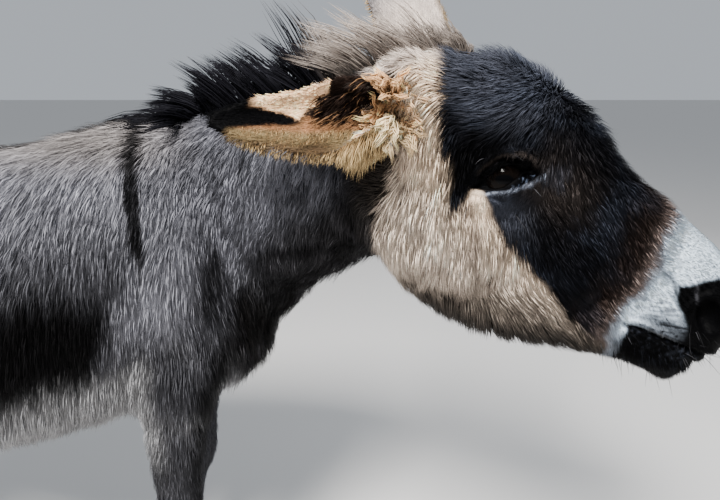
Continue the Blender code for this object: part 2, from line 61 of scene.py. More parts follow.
# %% Find the head and the body
HEAD_PITCH = math.radians(39)
EYE = np.array([0.141, 0.0722, -0.059])       # the left eye's middle, in the head's frame
EYE_RADIUS = 0.0205


def unit(v):
    return v / np.maximum(np.linalg.norm(v, axis=-1, keepdims=True), 1e-12)


def middle(node):
    low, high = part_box(node)
    return (np.array(low) + np.array(high)) / 2


left = unit(middle("eye_left") - middle("eye_right"))
level = np.array([left[1], -left[0], 0.0])
forward = level * math.cos(HEAD_PITCH) - np.array([0, 0, math.sin(HEAD_PITCH)])
AXES = np.array([forward, left, np.cross(forward, left)])
POLL = (middle("eye_left") + middle("eye_right")) / 2 - np.array([EYE[0], 0, EYE[2]]) @ AXES
WITHERS = POLL - np.array([0.437, -0.210, 1.133])


def to_head(p):
    return (p - POLL) @ AXES.T


def from_head(h):
    return np.asarray(h) @ AXES + POLL


def head_way(ahead, aside, above):
    """A direction given along the head's own axes: forward, left and up."""
    return from_head([ahead, aside, above]) - POLL


def eye_offset(h):
    """From the nearer eye's middle, with outward as the second axis."""
    return np.stack([h[:, 0] - EYE[0], np.abs(h[:, 1]) - EYE[1], h[:, 2] - EYE[2]], axis=1)


def ramp(x, low, high):
    """0 below low, 1 above high, and smooth between."""
    t = np.clip((x - low) / (high - low), 0, 1)
    return t * t * (3 - 2 * t)


def bump(x, low, peak, high):
    """0 up to low, 1 at peak, and 0 again from high on."""
    return ramp(x, low, peak) * (1 - ramp(x, peak, high))


def spot(x, z, middle, reach):
    """1 at the middle, and fading outwards by the two reaches."""
    return np.exp(-((x - middle[0]) / reach[0]) ** 2 - ((z - middle[1]) / reach[1]) ** 2)


def noise(p, size, seed=0):
    """A smooth random value from -1 to 1 at each point, whose blobs are about size across."""
    q = p / size + 1000.5 + 17.3 * seed
    cell = np.floor(q).astype(np.int64)
    f = q - cell
    f = f * f * (3 - 2 * f)
    total = np.zeros(len(p))
    for corner in range(8):
        d = np.array([corner & 1, corner >> 1 & 1, corner >> 2 & 1])
        c = cell + d
        h = (c[:, 0] * 73856093) ^ (c[:, 1] * 19349663) ^ (c[:, 2] * 83492791) ^ (seed * 6542989 + 77)
        h = (h ^ (h >> 13)) * 1274126177 & 0xFFFFFFF
        h = (h ^ (h >> 11)) & 0xFFFF
        total += np.prod(np.where(d, f, 1 - f), axis=1) * (h / 32767.5 - 1)
    return total


# A place on each cut across the neck, from the withers, and the way that the cut faces.
NECK_CUT = np.array([0.358, -0.175, 0.990]), unit(np.array([0.925, -0.360, 0.110]))
CHEST_CUT = np.array([0.142, -0.010, 0.890]), unit(np.array([0.890, -0.120, 0.420]))
LEG_TOP = 0.47, 0.56              # heights between which a leg turns into the trunk
TAIL_ROOT = -0.895, -0.870        # places along the body between which the tail leaves it
MUZZLE_START = 0.29, 0.35         # places along the head between which the short hair begins


def past(p, cut):
    """How far a point lies ahead of one of the two cuts across the neck."""
    return (p - WITHERS - cut[0]) @ cut[1]


print("head forward", forward.round(3), "withers", WITHERS.round(3))

# %% [markdown]
# ## The skin
# Copies of the parts of flesh are joined, made into one closed skin and smoothed: the trunk a lot, since its
# facets are large, and the face, ears and feet a little.

# %% Join copies of the parts of flesh
LEGS = [f"leg_{end}_{side}" for end in ("front", "hind") for side in ("left", "right")]
FLESH = ["head", "neck", "trunk", "tail", "ear_left", "ear_right", *LEGS]
VOXEL = 0.004
WELD = 2e-5          # the facets of a part come loose, and meet within this
OVERLAP = 0.0006     # how much each copy is grown, past the gap between neighbours


def new_object(name, mesh):
    obj = bpy.data.objects.new(name, mesh)
    bpy.context.scene.collection.objects.link(obj)
    return obj


def joined_copies(names, name, grow):
    """Welded copies of these nodes, each a little larger, so that they overlap their neighbours."""
    whole = bmesh.new()
    for node in names:
        part = bmesh.new()
        part.from_mesh(nodes[node].data)
        bmesh.ops.remove_doubles(part, verts=part.verts, dist=WELD)
        part.normal_update()
        for vertex in part.verts:
            vertex.co += vertex.normal * grow
        mesh = bpy.data.meshes.new("part")
        part.to_mesh(mesh)
        part.free()
        whole.from_mesh(mesh)
        bpy.data.meshes.remove(mesh)
    mesh = bpy.data.meshes.new(name)
    whole.to_mesh(mesh)
    whole.free()
    return new_object(name, mesh)


def apply_modifiers(obj):
    mesh = bpy.data.meshes.new_from_object(obj.evaluated_get(bpy.context.evaluated_depsgraph_get()))
    obj.modifiers.clear()
    old = obj.data
    obj.data = mesh
    bpy.data.meshes.remove(old)


def points_of(mesh):
    found = np.empty(len(mesh.vertices) * 3)
    mesh.vertices.foreach_get("co", found)
    return found.reshape(-1, 3)


def set_points(mesh, points):
    mesh.vertices.foreach_set("co", np.ascontiguousarray(points, np.float32).ravel())
    mesh.update()


def normals_of(mesh):
    found = np.empty(len(mesh.vertices) * 3, np.float32)
    mesh.vertex_normals.foreach_get("vector", found)
    return found.reshape(-1, 3).astype(float)


def edges_of(mesh):
    found = np.empty(len(mesh.edges) * 2, np.int32)
    mesh.edges.foreach_get("vertices", found)
    return found.reshape(-1, 2)


def neighbour_means(points, ends):
    """The middle of the neighbours of each point."""
    count = np.bincount(ends.ravel(), minlength=len(points))[:, None]
    return np.stack([np.bincount(ends[:, 0], points[ends[:, 1], k], len(points))
                     + np.bincount(ends[:, 1], points[ends[:, 0], k], len(points))
                     for k in range(3)], axis=1) / count


def smoothed(mesh, passes):
    """Moves each point towards its neighbours, and back a little, as many times as passes says for it."""
    points, ends = points_of(mesh), edges_of(mesh)
    for turn in range(int(passes.max())):
        active = (passes > turn)[:, None]
        for share in (0.5, -0.52) if turn % 2 else (0.5,):
            points += active * share * (neighbour_means(points, ends) - points)
    set_points(mesh, points)


def filled(mesh, share, turns):
    """Moves points out of the valleys only, so that a hollow fills and a swelling stays."""
    points, ends = points_of(mesh), edges_of(mesh)
    for turn in range(turns):
        if turn % 10 == 0:
            set_points(mesh, points)
            normal = normals_of(mesh)
        step = neighbour_means(points, ends) - points
        rise = (step * normal).sum(axis=1, keepdims=True)
        points += share[:, None] * np.where(rise > 0, step, 0.15 * step)
    set_points(mesh, points)


def surface_of(mesh):
    """A tree that finds the nearest place on a mesh."""
    faces = [face.vertices[:] for face in mesh.polygons]
    return BVHTree.FromPolygons([vertex.co for vertex in mesh.vertices], faces)


skin = joined_copies(FLESH + ["eye_left", "eye_right"], "skin", OVERLAP)
step = skin.modifiers.new("one_skin", "REMESH")
step.mode = "VOXEL"
step.voxel_size = VOXEL
apply_modifiers(skin)

EARS = {side: surface_of(nodes[f"ear_{side}"].data) for side in ("left", "right")}


def ear_share(p, side):
    """1 on this ear, 0 away from it."""
    low, high = (np.array(corner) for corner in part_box(f"ear_{side}"))
    near = np.where(np.all((p > low - 0.006) & (p < high + 0.006), axis=1))[0]
    share = np.zeros(len(p))
    for i in near:
        hit = EARS[side].find_nearest(Vector(p[i]), 0.008)
        if hit[0] is not None:
            share[i] = 1 - ramp(np.array(hit[3]), 0.0035, 0.0065)
    return share


points = points_of(skin.data)
h = to_head(points)
on_ear = np.maximum(ear_share(points, "left"), ear_share(points, "right"))
on_head = ramp(past(points, NECK_CUT), -0.01, 0.03)
passes = 26 - 17 * on_head - 4 * ramp(h[:, 0], 0.30, 0.36) * on_head
under_cheek = on_head * bump(h[:, 0], 0.03, 0.14, 0.33) * bump(-h[:, 2], 0.08, 0.17, 0.32)
passes = passes + 30 * under_cheek
passes = np.where(points[:, 2] < 0.5, 9, passes)
passes = np.where(on_ear > 0.5, 2, passes)
smoothed(skin.data, passes.round())
filled(skin.data, 0.5 * ramp(under_cheek, 0.0, 0.35), 220)
print(len(skin.data.vertices), "points in the smoothed skin")

# %% [markdown]
# The skin lies inside the true outline by the depth of the coat. The trunk then loses most of its points, and
# the muzzle and the eyes get more.

# %% Pull the skin in by the depth of the coat
def coat_depth(p, normal, ear):
    """How far the tips of the coat stand off the skin."""
    b, h = p - WITHERS, to_head(p)
    head = ramp(past(p, NECK_CUT), -0.03, 0.03)
    under = ramp(-normal[:, 2], 0.2, 0.8)
    depth = 0.012 + 0.007 * under * ramp(b[:, 2], 0.45, 0.55)
    depth += 0.004 * ramp(past(p, CHEST_CUT), -0.1, 0.0)
    face = 0.007 + 0.006 * ramp(-h[:, 2], 0.14, 0.22) * under
    face = face + (0.0012 - face) * ramp(h[:, 0] + 0.25 * h[:, 2], *MUZZLE_START)
    from_eye = np.linalg.norm(h - EYE * [1, 0, 1] - np.sign(h[:, 1:2]) * EYE * [0, 1, 0], axis=1)
    face = face + (0.0008 - face) * (1 - ramp(from_eye, 0.028, 0.050))
    depth = depth + (face - depth) * head
    leg = 0.005 + 0.005 * ramp(b[:, 2], 0.25, 0.5)
    low = (1 - ramp(b[:, 2], *LEG_TOP)) * (1 - head)
    depth = depth + (leg - depth) * low
    tail = 1 - ramp(b[:, 0], *TAIL_ROOT)
    depth = depth + (0.006 - depth) * tail
    return depth + (0.0012 - depth) * ear


points, normal = points_of(skin.data), normals_of(skin.data)
ahead, _, height = (points - WITHERS).T
fluffy = (1 - on_ear) * (1 - ramp(to_head(points)[:, 0], 0.28, 0.34) * on_head)
fluffy = fluffy * ramp(height, 0.5, 0.6) * ramp(ahead, -0.1, 0.05)
heaps = 0.0018 * noise(points * (1, 1, 0.7), 0.034, 30) + 0.0008 * noise(points * (1, 1, 0.6), 0.016, 31)
points = points + normal * (fluffy * heaps)[:, None]
set_points(skin.data, points - normal * coat_depth(points, normal, on_ear)[:, None])
smoothed(skin.data, np.where(on_ear > 0.5, 0, 2))

COARSE_TRIANGLES = 31000      # about what the coarse part of the skin keeps
group = skin.vertex_groups.new(name="coarse")
h = to_head(points)
by_eye = np.linalg.norm(eye_offset(h), axis=1) < 0.066
on_feet = points[:, 2] < 0.10
fine = (on_ear > 0.3) | on_feet | (past(points, NECK_CUT) > 0.0) & (by_eye | (h[:, 0] > 0.32))
for i in np.where(~fine)[0].tolist():
    group.add([i], 1.0, "REPLACE")
step = skin.modifiers.new("reduce", "DECIMATE")
whole = 2 * len(skin.data.polygons)
step.ratio = (2 * fine.sum() + COARSE_TRIANGLES) / whole
step.vertex_group = "coarse"
step.vertex_group_factor = 1.0
apply_modifiers(skin)
skin.vertex_groups.clear()
print(len(skin.data.polygons), "faces in the reduced skin")

# %% Give the eyes, the nostrils and the mouth more points
MOUTH = np.array([0.362, -0.098]), np.array([0.505, -0.051])
NOSTRIL = np.array([0.420, 0.053, -0.029])


def above_mouth(h):
    """How far a point lies above the line where the lips meet."""
    return h[:, 2] - np.interp(h[:, 0], *zip(*MOUTH))


def from_nostril(h):
    return np.stack([h[:, 0], np.abs(h[:, 1]), h[:, 2]], axis=1) - NOSTRIL


def subdivide_where(obj, test):
    """Cuts the edges of the faces whose middles, in head places, pass the test."""
    bm = bmesh.new()
    bm.from_mesh(obj.data)
    centres = to_head(np.array([face.calc_center_median() for face in bm.faces]))
    chosen = test(centres)
    edges = {edge for face, take in zip(bm.faces, chosen) if take for edge in face.edges}
    bmesh.ops.subdivide_edges(bm, edges=list(edges), cuts=1, use_grid_fill=True)
    bmesh.ops.triangulate(bm, faces=bm.faces)
    bm.to_mesh(obj.data)
    bm.free()


def near_eye(h, reach):
    """Which points lie outside the head and within reach of an eye."""
    d = eye_offset(h)
    return (np.linalg.norm(d, axis=1) < reach) & (d[:, 1] > -0.006)


def by_mouth(h):
    return (np.abs(above_mouth(h)) < 0.009) & (h[:, 0] > 0.355)


def by_nostril(h, reach):
    return np.linalg.norm(from_nostril(h), axis=1) < reach


subdivide_where(skin, lambda h: near_eye(h, 0.058) | ((h[:, 0] > 0.335) & (h[:, 2] > -0.2)))
subdivide_where(skin, lambda h: near_eye(h, 0.043) | by_mouth(h) | by_nostril(h, 0.034))
print(len(skin.data.polygons), "faces with the finer places")

# %% [markdown]
# The lids follow the eyeball. Their opening is a long almond whose back corner is the lower, and whose front
# corner runs on as a dark hollow for the tears. The upper lid has a fold. The lips part along the mouth's
# line, and fine wrinkles gather behind the nostril.

# %% Shape the lids
EYE_TILT = math.radians(54)
LID_ALONG = (-0.036, -0.026, -0.017, -0.002, 0.008, 0.020, 0.030, 0.037)       # from the eye's middle
UPPER_LID = (-0.0025, 0.0030, 0.0080, 0.0140, 0.0155, 0.0135, 0.0085, -0.0010)
LOWER_LID = (-0.0030, -0.0065, -0.0092, -0.0080, -0.0035, 0.0005, 0.0010, -0.0015)
LASH_LINE = (-0.0030, -0.0068, -0.0095, -0.0108, -0.0105, -0.0098, -0.0085, -0.0040)   # a pale edge


def lid_places(h):
    """(along the opening, across it, how far outside the opening) for each point, seen from the side."""
    d = eye_offset(h)
    along = d[:, 0] * math.cos(EYE_TILT) + d[:, 2] * math.sin(EYE_TILT)
    across = -d[:, 0] * math.sin(EYE_TILT) + d[:, 2] * math.cos(EYE_TILT)
    upper, lower = np.interp(along, LID_ALONG, UPPER_LID), np.interp(along, LID_ALONG, LOWER_LID)
    beyond = np.maximum(LID_ALONG[0] - along, along - LID_ALONG[-1])
    between = np.maximum(across - upper, lower - across)
    outside = np.where(beyond > 0, np.hypot(beyond, across + 0.003), between)
    return along, across, outside


def shape_lids(p):
    """Lays the skin round each eye over the eyeball, with a fold above, and sinks it between the lids."""
    h = to_head(p)
    d = eye_offset(h)
    along, across, outside = lid_places(h)
    flat = np.hypot(d[:, 0], d[:, 2])
    ball = np.sqrt(np.maximum(EYE_RADIUS ** 2 - flat ** 2, 0))
    lid_radius = EYE_RADIUS + 0.0018 + 0.0022 * ramp(outside, 0.0, 0.006)
    cover = np.sqrt(np.maximum(lid_radius ** 2 - flat ** 2, 0))
    share = (1 - ramp(flat, 0.0195, 0.0275)) * (1 - ramp(outside, 0.010, 0.022))
    lid = d[:, 1] + (cover - d[:, 1]) * share
    above = ramp(across, 0.0, 0.006) * (1 - ramp(np.abs(along), 0.026, 0.042))
    lid += above * (-0.0024 * bump(outside, 0.0045, 0.0075, 0.0105)
                    + 0.0042 * bump(outside, 0.0085, 0.0130, 0.022))
    lid -= 0.0012 * (1 - above) * bump(outside, 0.005, 0.008, 0.012)
    hollow = np.maximum(ball - 0.0035, d[:, 1] - 0.0065 * ramp(-outside, 0.0, 0.0035))
    side = lid + (hollow - lid) * (1 - ramp(outside, -0.0009, 0.0006))
    moved = np.stack([h[:, 0], (side + EYE[1]) * np.sign(h[:, 1]), h[:, 2]], axis=1)
    return np.where(near_eye(h, 0.058)[:, None], from_head(moved), p)


set_points(skin.data, shape_lids(points_of(skin.data)))
h = to_head(points_of(skin.data))
smoothed(skin.data, np.where(near_eye(h, 0.060), np.where(lid_places(h)[2] > 0.001, 3, 1), 0))
widest = max(upper - lower for upper, lower in zip(UPPER_LID, LOWER_LID))
print("the eyes open", round(1000 * (LID_ALONG[-1] - LID_ALONG[0])), "by", round(1000 * widest), "mm")


# %% Part the lips and wrinkle the muzzle
WRINKLE = 0.0062      # from one wrinkle to the next


def shape_mouth(p, normal):
    """Presses the line between the lips in, and raises the lips, the nostril's rim and the wrinkles."""
    h = to_head(p)
    gap = above_mouth(h)
    facing = np.abs(normal @ AXES[1]) + np.maximum(normal @ AXES[0], 0)
    along = ramp(h[:, 0], 0.362, 0.372) * ramp(facing, 0.2, 0.5)
    groove = -0.0070 * np.exp(-((gap / 0.0022) ** 2))
    lips = (0.0022 * np.exp(-(((gap - 0.0075) / 0.004) ** 2))
            + 0.0030 * np.exp(-(((gap + 0.0085) / 0.005) ** 2)))
    n = from_nostril(h)
    around = np.linalg.norm(n, axis=1)
    behind = bump(around, 0.024, 0.042, 0.075) * ramp(-n[:, 0], 0.0, 0.02)
    behind = behind * (1 - ramp(np.abs(n[:, 2] + 0.01), 0.02, 0.04))
    over = n[:, 2] + 0.25 * n[:, 0] + 0.0015 * noise(p, 0.02, 12)
    wrinkles = 0.0006 * behind * np.sin(2 * math.pi * over / WRINKLE)
    rim = 0.0022 * np.exp(-(((around - 0.0265) / 0.0040) ** 2)) * ramp(-n[:, 0] + n[:, 2], -0.01, 0.01)
    return p + normal * (along * (groove + lips) + ramp(h[:, 0], 0.33, 0.35) * (wrinkles + rim))[:, None]


set_points(skin.data, shape_mouth(points_of(skin.data), normals_of(skin.data)))
skin.data.shade_smooth()

# %% [markdown]
# ## One map for the skin
# The map for the finish is named OFBake. The skin is unwrapped once, and each tuft of the coat later
# takes a tiny patch of the same map, at the place of its root.

# %% Unwrap the skin
bpy.ops.object.select_all(action="DESELECT")
skin.select_set(True)
bpy.context.view_layer.objects.active = skin
bpy.ops.object.mode_set(mode="EDIT")
bpy.ops.mesh.select_all(action="SELECT")
bpy.ops.uv.smart_project(angle_limit=1.15, island_margin=0.004, scale_to_bounds=True)
bpy.ops.object.mode_set(mode="OBJECT")
skin.data.uv_layers.active.name = "OFBake"
print("unwrapped", len(skin.data.polygons), "faces")

# %% [markdown]
# ## The regions of the coat
# The coat's length, its lie and its colour all depend on the place on the body. So one function gives the
# share of each region at a point, and every rule below reads it. An ear has directions of its own.


# %% Name the regions
class Ear:
    """An ear's own directions: along it, out of its open side, and across it."""

    def __init__(self, side, root, tip, face):
        self.side, self.root = side, np.asarray(root)
        self.length = np.linalg.norm(tip - self.root)
        self.along = (tip - self.root) / self.length
        self.face = unit(face - self.along * (face @ self.along))
        self.across = np.cross(self.along, self.face)

    def places(self, p):
        """From 0 at the root to 1 at the tip, and metres across, for each point."""
        return (p - self.root) @ self.along / self.length, (p - self.root) @ self.across


EAR_SHAPES = (
    Ear("right", from_head([0.012, -0.070, -0.086]), WITHERS + [0.163, -0.250, 1.058],
        np.array([0.05, -1.0, 0.40])),
    Ear("left", from_head([0.004, 0.052, -0.036]), WITHERS + [0.345, -0.010, 1.345],
        np.array([0.45, 0.90, 0.0])),
)


def regions(p, normal):
    """The share, from 0 to 1, of each region of the coat at each point."""
    b, h = p - WITHERS, to_head(p)
    head = ramp(past(p, NECK_CUT), -0.02, 0.03)
    muzzle = head * ramp(h[:, 0] + 0.25 * h[:, 2], *MUZZLE_START)
    off_muzzle = 1 - muzzle
    neck = (1 - head) * ramp(past(p, CHEST_CUT), -0.10, 0.04)
    leg = (1 - head) * (1 - ramp(b[:, 2], *LEG_TOP))
    trunk = (1 - head) * (1 - leg)
    on = {side: ear_share(p, side) for side in ("right", "left")}
    inside = sum(on[ear.side] * ramp(normal @ ear.face, -0.40, 0.05) for ear in EAR_SHAPES)
    return {
        "head": head, "muzzle": muzzle, "neck": neck, "leg": leg, "ear": np.maximum(on["right"], on["left"]),
        "ear_right": on["right"], "ear_left": on["left"], "inside": np.clip(inside, 0, 1),
        "eye": head * (1 - ramp(np.linalg.norm(eye_offset(h), axis=1), 0.030, 0.055)),
        "nose": head * ramp(h[:, 0], 0.15, 0.25) * off_muzzle * ramp(h[:, 2], -0.13, -0.06),
        "jaw": head * ramp(-h[:, 2], 0.15, 0.22) * off_muzzle,
        "chin": muzzle * ramp(-above_mouth(h), 0.006, 0.022),
        "cheek": (head * ramp(np.abs(h[:, 1]), 0.050, 0.075) * ramp(-h[:, 2] - 0.3 * h[:, 0], 0.0, 0.05)
                  * off_muzzle),
        "foot": (1 - head) * (1 - ramp(b[:, 2], 0.10, 0.35)),
        "belly": trunk * (1 - neck) * ramp(-normal[:, 2], 0.1, 0.7),
        "chest": trunk * ramp(normal[:, 0], 0.2, 0.7) * ramp(b[:, 0], 0.03, 0.12),
        "tail": 1 - ramp(b[:, 0], *TAIL_ROOT),
    }


def blend(value, *layers):
    """A value for each point, with each (share, other value) laid over it in turn."""
    value = np.array(value, float)
    for share, over in layers:
        share = share.reshape((-1,) + (1,) * (value.ndim - 1))
        value = value + share * (np.asarray(over, float) - value)
    return value


def every(value, n):
    """The same value in each of n rows."""
    return np.tile(np.asarray(value, float), (n, 1))


# %% [markdown]
# ## Markings
# This donkey has the common wild colour: mouse grey, with a dark line along the back and another across the
# shoulder, a dark face, pale cheeks and a mealy white muzzle. Painted shade deepens the face, partly as a
# cast shadow, and darkens the lower flank, chest, throat, jaw, ears and hair roots; painted light brightens
# the forehead and the ears' orange rims. Skin and coat take their colours from one function.

# %% Choose the colours
GREY = (0.224, 0.226, 0.258)
BACK_GREY = (0.250, 0.230, 0.225)
# the face's own dark colour, deepened by painted shade
FACE_DARK_AND_SHADE = (0.0050, 0.0052, 0.0070)
NECK_GREY = (0.138, 0.140, 0.164)
LEG_GREY = (0.041, 0.041, 0.046)
# near black: the dark lines along the back and across the shoulder, and painted shade
STRIPE_AND_SHADE = (0.0040, 0.0038, 0.0042)
PALE_BELLY = (0.30, 0.30, 0.31)
CREAM = (0.68, 0.565, 0.465)
# the jaw's grey, darkened by painted shade where the head turns under
JAW_GREY_AND_SHADE = (0.030, 0.026, 0.023)
WHITE = (0.70, 0.83, 0.98)
BLACK = (0.0016, 0.0016, 0.0019)
# the orange of the ear's upper rim, brightened by painted sunlight
ORANGE_AND_SUNLIT = (0.93, 0.60, 0.36)
RUST = (0.27, 0.130, 0.062)
# the cream of the ear's lower rim, darkened by painted shade
EAR_CREAM_IN_SHADE = (0.165, 0.120, 0.062)
# the dark brown of the ear's hollow, deepened by painted shade
HOLLOW_SHADE = (0.016, 0.010, 0.008)
POLL_GREY = (0.54, 0.46, 0.405)
BROW_BROWN = (0.060, 0.048, 0.042)
NOSE_BROWN = (0.030, 0.019, 0.014)
# frosted hair on the upper forehead, brightened by a painted highlight from above
FOREHEAD_FROST_AND_SHEEN = (0.046, 0.050, 0.066)
GRIZZLE = (0.034, 0.041, 0.060)
UNDER_EYE = (0.055, 0.060, 0.078)
WARM_CREAM = (0.86, 0.67, 0.50)
CHEEK_TAN = (0.20, 0.155, 0.130)
FACE_RIM = (0.24, 0.185, 0.165)
MUZZLE_RIM = (0.36, 0.27, 0.24)
# near black: painted shade on the breast under the neck
BREAST_SHADE = (0.0075, 0.0068, 0.0068)
BREAST_FROST = (0.075, 0.072, 0.080)
LOWEST, HIGHEST = 0.001, 0.95         # of a marking's red, green or blue

# The edges between colours and painted shade, as corners seen from the side: forward and up in the head's own
# places, or in the body's for the neck's fold and the chest.
# the dark face's edge, partly the edge of a painted cast shadow
FACE_AND_SHADOW_EDGE = ((-0.03, 0.02), (0.003, -0.012), (0.039, -0.051), (0.071, -0.083), (0.086, -0.084),
             (0.095, -0.092), (0.104, -0.105), (0.112, -0.117), (0.122, -0.126), (0.129, -0.115),
             (0.128, -0.101), (0.125, -0.093), (0.127, -0.087), (0.133, -0.0845), (0.143, -0.090),
             (0.165, -0.101), (0.188, -0.111), (0.221, -0.117), (0.263, -0.120), (0.314, -0.138),
             (0.362, -0.130), (0.400, -0.145))
MUZZLE_EDGE = ((0.30, 0.08), (0.318, 0.032), (0.316, 0.004), (0.326, -0.014), (0.339, -0.032),
               (0.349, -0.056), (0.350, -0.076), (0.351, -0.098), (0.363, -0.120), (0.386, -0.137),
               (0.40, -0.20))
# the edge of the painted shadow behind the cheek, under the ear
CHEEK_EDGE = ((0.000, -0.070), (0.020, -0.100), (0.030, -0.116), (0.045, -0.132), (0.056, -0.155),
              (0.063, -0.182), (0.085, -0.213), (0.110, -0.260))
# the fold between brow and temple, where a line of painted shade lies
BROW_SHADE_LINE = ((0.100, -0.120), (0.094, -0.099), (0.092, -0.048), (0.115, -0.026), (0.145, -0.020))
# the neck's fold, where a line of painted shade lies
NECK_FOLD = ((0.150, 0.850), (0.183, 0.856), (0.253, 0.874), (0.310, 0.889), (0.352, 0.911))
NOSTRIL_EDGE = ((0.52, -0.012), (0.430, 0.006), (0.396, 0.009), (0.384, -0.008), (0.378, -0.019),
                (0.371, -0.026), (0.379, -0.037), (0.390, -0.043), (0.402, -0.048), (0.414, -0.053),
                (0.426, -0.060), (0.436, -0.075), (0.440, -0.120))
CHEST_EDGE = ((0.130, 0.640), (0.128, 0.720), (0.137, 0.790), (0.155, 0.845), (0.182, 0.885), (0.215, 0.913),
              (0.255, 0.938), (0.300, 0.962), (0.350, 1.000))
# the crease behind the nostril, where a line of painted shade lies
NOSE_CREASE = ((0.348, -0.025), (0.356, -0.0245), (0.367, -0.028), (0.374, -0.034))
NOSTRIL_RIM = ((0.383, -0.012), (0.389, -0.020), (0.397, -0.027))


def beyond(x, z, line):
    """How far each point lies to the left of a line that runs through these corners."""
    nearest, signed, aside = np.full(len(x), 1e9), np.zeros(len(x)), np.zeros(len(x))
    for (x0, z0), (x1, z1) in zip(line, line[1:]):
        dx, dz = x1 - x0, z1 - z0
        t = np.clip(((x - x0) * dx + (z - z0) * dz) / (dx * dx + dz * dz), 0, 1)
        away = np.hypot(x - x0 - t * dx, z - z0 - t * dz)
        turn = ((z - z0) * dx - (x - x0) * dz) / math.hypot(dx, dz)
        nearer = (away < nearest - 1e-9) | ((away < nearest + 1e-9) & (np.abs(turn) > aside))
        signed = np.where(nearer, away * np.sign(turn), signed)
        aside = np.where(nearer, np.abs(turn), aside)
        nearest = np.minimum(away, nearest)
    return signed


def ear_colour(p, ear):
    """The open side of an ear: a dark hollow deepened by painted shade, an orange upper rim brightened by
    painted sunlight, a cream lower rim darkened by painted shade, and a black band to the tip, partly a
    painted cast shadow.
    """
    t, across = ear.places(p)
    across = across + 0.002 * noise(p, 0.008, 6)
    lengthwise = np.stack([t * ear.length + 0.5 * across, 0.22 * across, 0 * t], axis=1)
    streak = ramp(noise(lengthwise, 0.0042, 41) + 0.5 * noise(lengthwise, 0.0020, 42), -0.2, 0.7)
    # painted shade along the ear's lower edge
    under = ramp(-across, 0.018, 0.030) * ramp(t, 0.25, 0.40)
    colour = blend(every(RUST, len(p)), (ramp(-across, 0.001, 0.010), EAR_CREAM_IN_SHADE),
                   (0.55 * streak, (0.12, 0.070, 0.035)), (0.7 * under, (0.07, 0.045, 0.028)))
    rim_line = np.interp(t, (0.30, 0.345, 0.357, 0.435, 0.50, 0.54, 0.611, 0.728, 0.84, 0.90),
                         (0.060, 0.045, 0.033, 0.026, 0.018, 0.008, 0.015, 0.018, 0.017, 0.030))
    hollow_line = np.interp(t, (0.10, 0.19, 0.256, 0.366, 0.477, 0.53),
                            (0.018, 0.014, 0.010, 0.007, 0.012, 0.016))
    # the hollow: dark brown hair and painted shade
    hollow = ramp(across - hollow_line, -0.003, 0.002) * (1 - ramp(t, 0.50, 0.54))
    # the orange upper rim, partly painted sunlight
    rim = ramp(across - rim_line, -0.002, 0.002)
    low = np.interp(t, (0.50, 0.532, 0.611, 0.742, 0.889, 1.0), (0.008, 0.004, 0.001, -0.001, -0.006, -0.030))
    # a band of black hair and a painted cast shadow from the upper rim
    band = ramp(rim_line - across, -0.001, 0.002) * ramp(across - low, -0.003, 0.002) * ramp(t, 0.49, 0.55)
    tip = ramp(t + 4 * np.clip(across, -0.020, 0.020), 0.80, 0.88)
    return blend(colour, (hollow, HOLLOW_SHADE), (rim, ORANGE_AND_SUNLIT), (band, BLACK), (tip, BLACK))


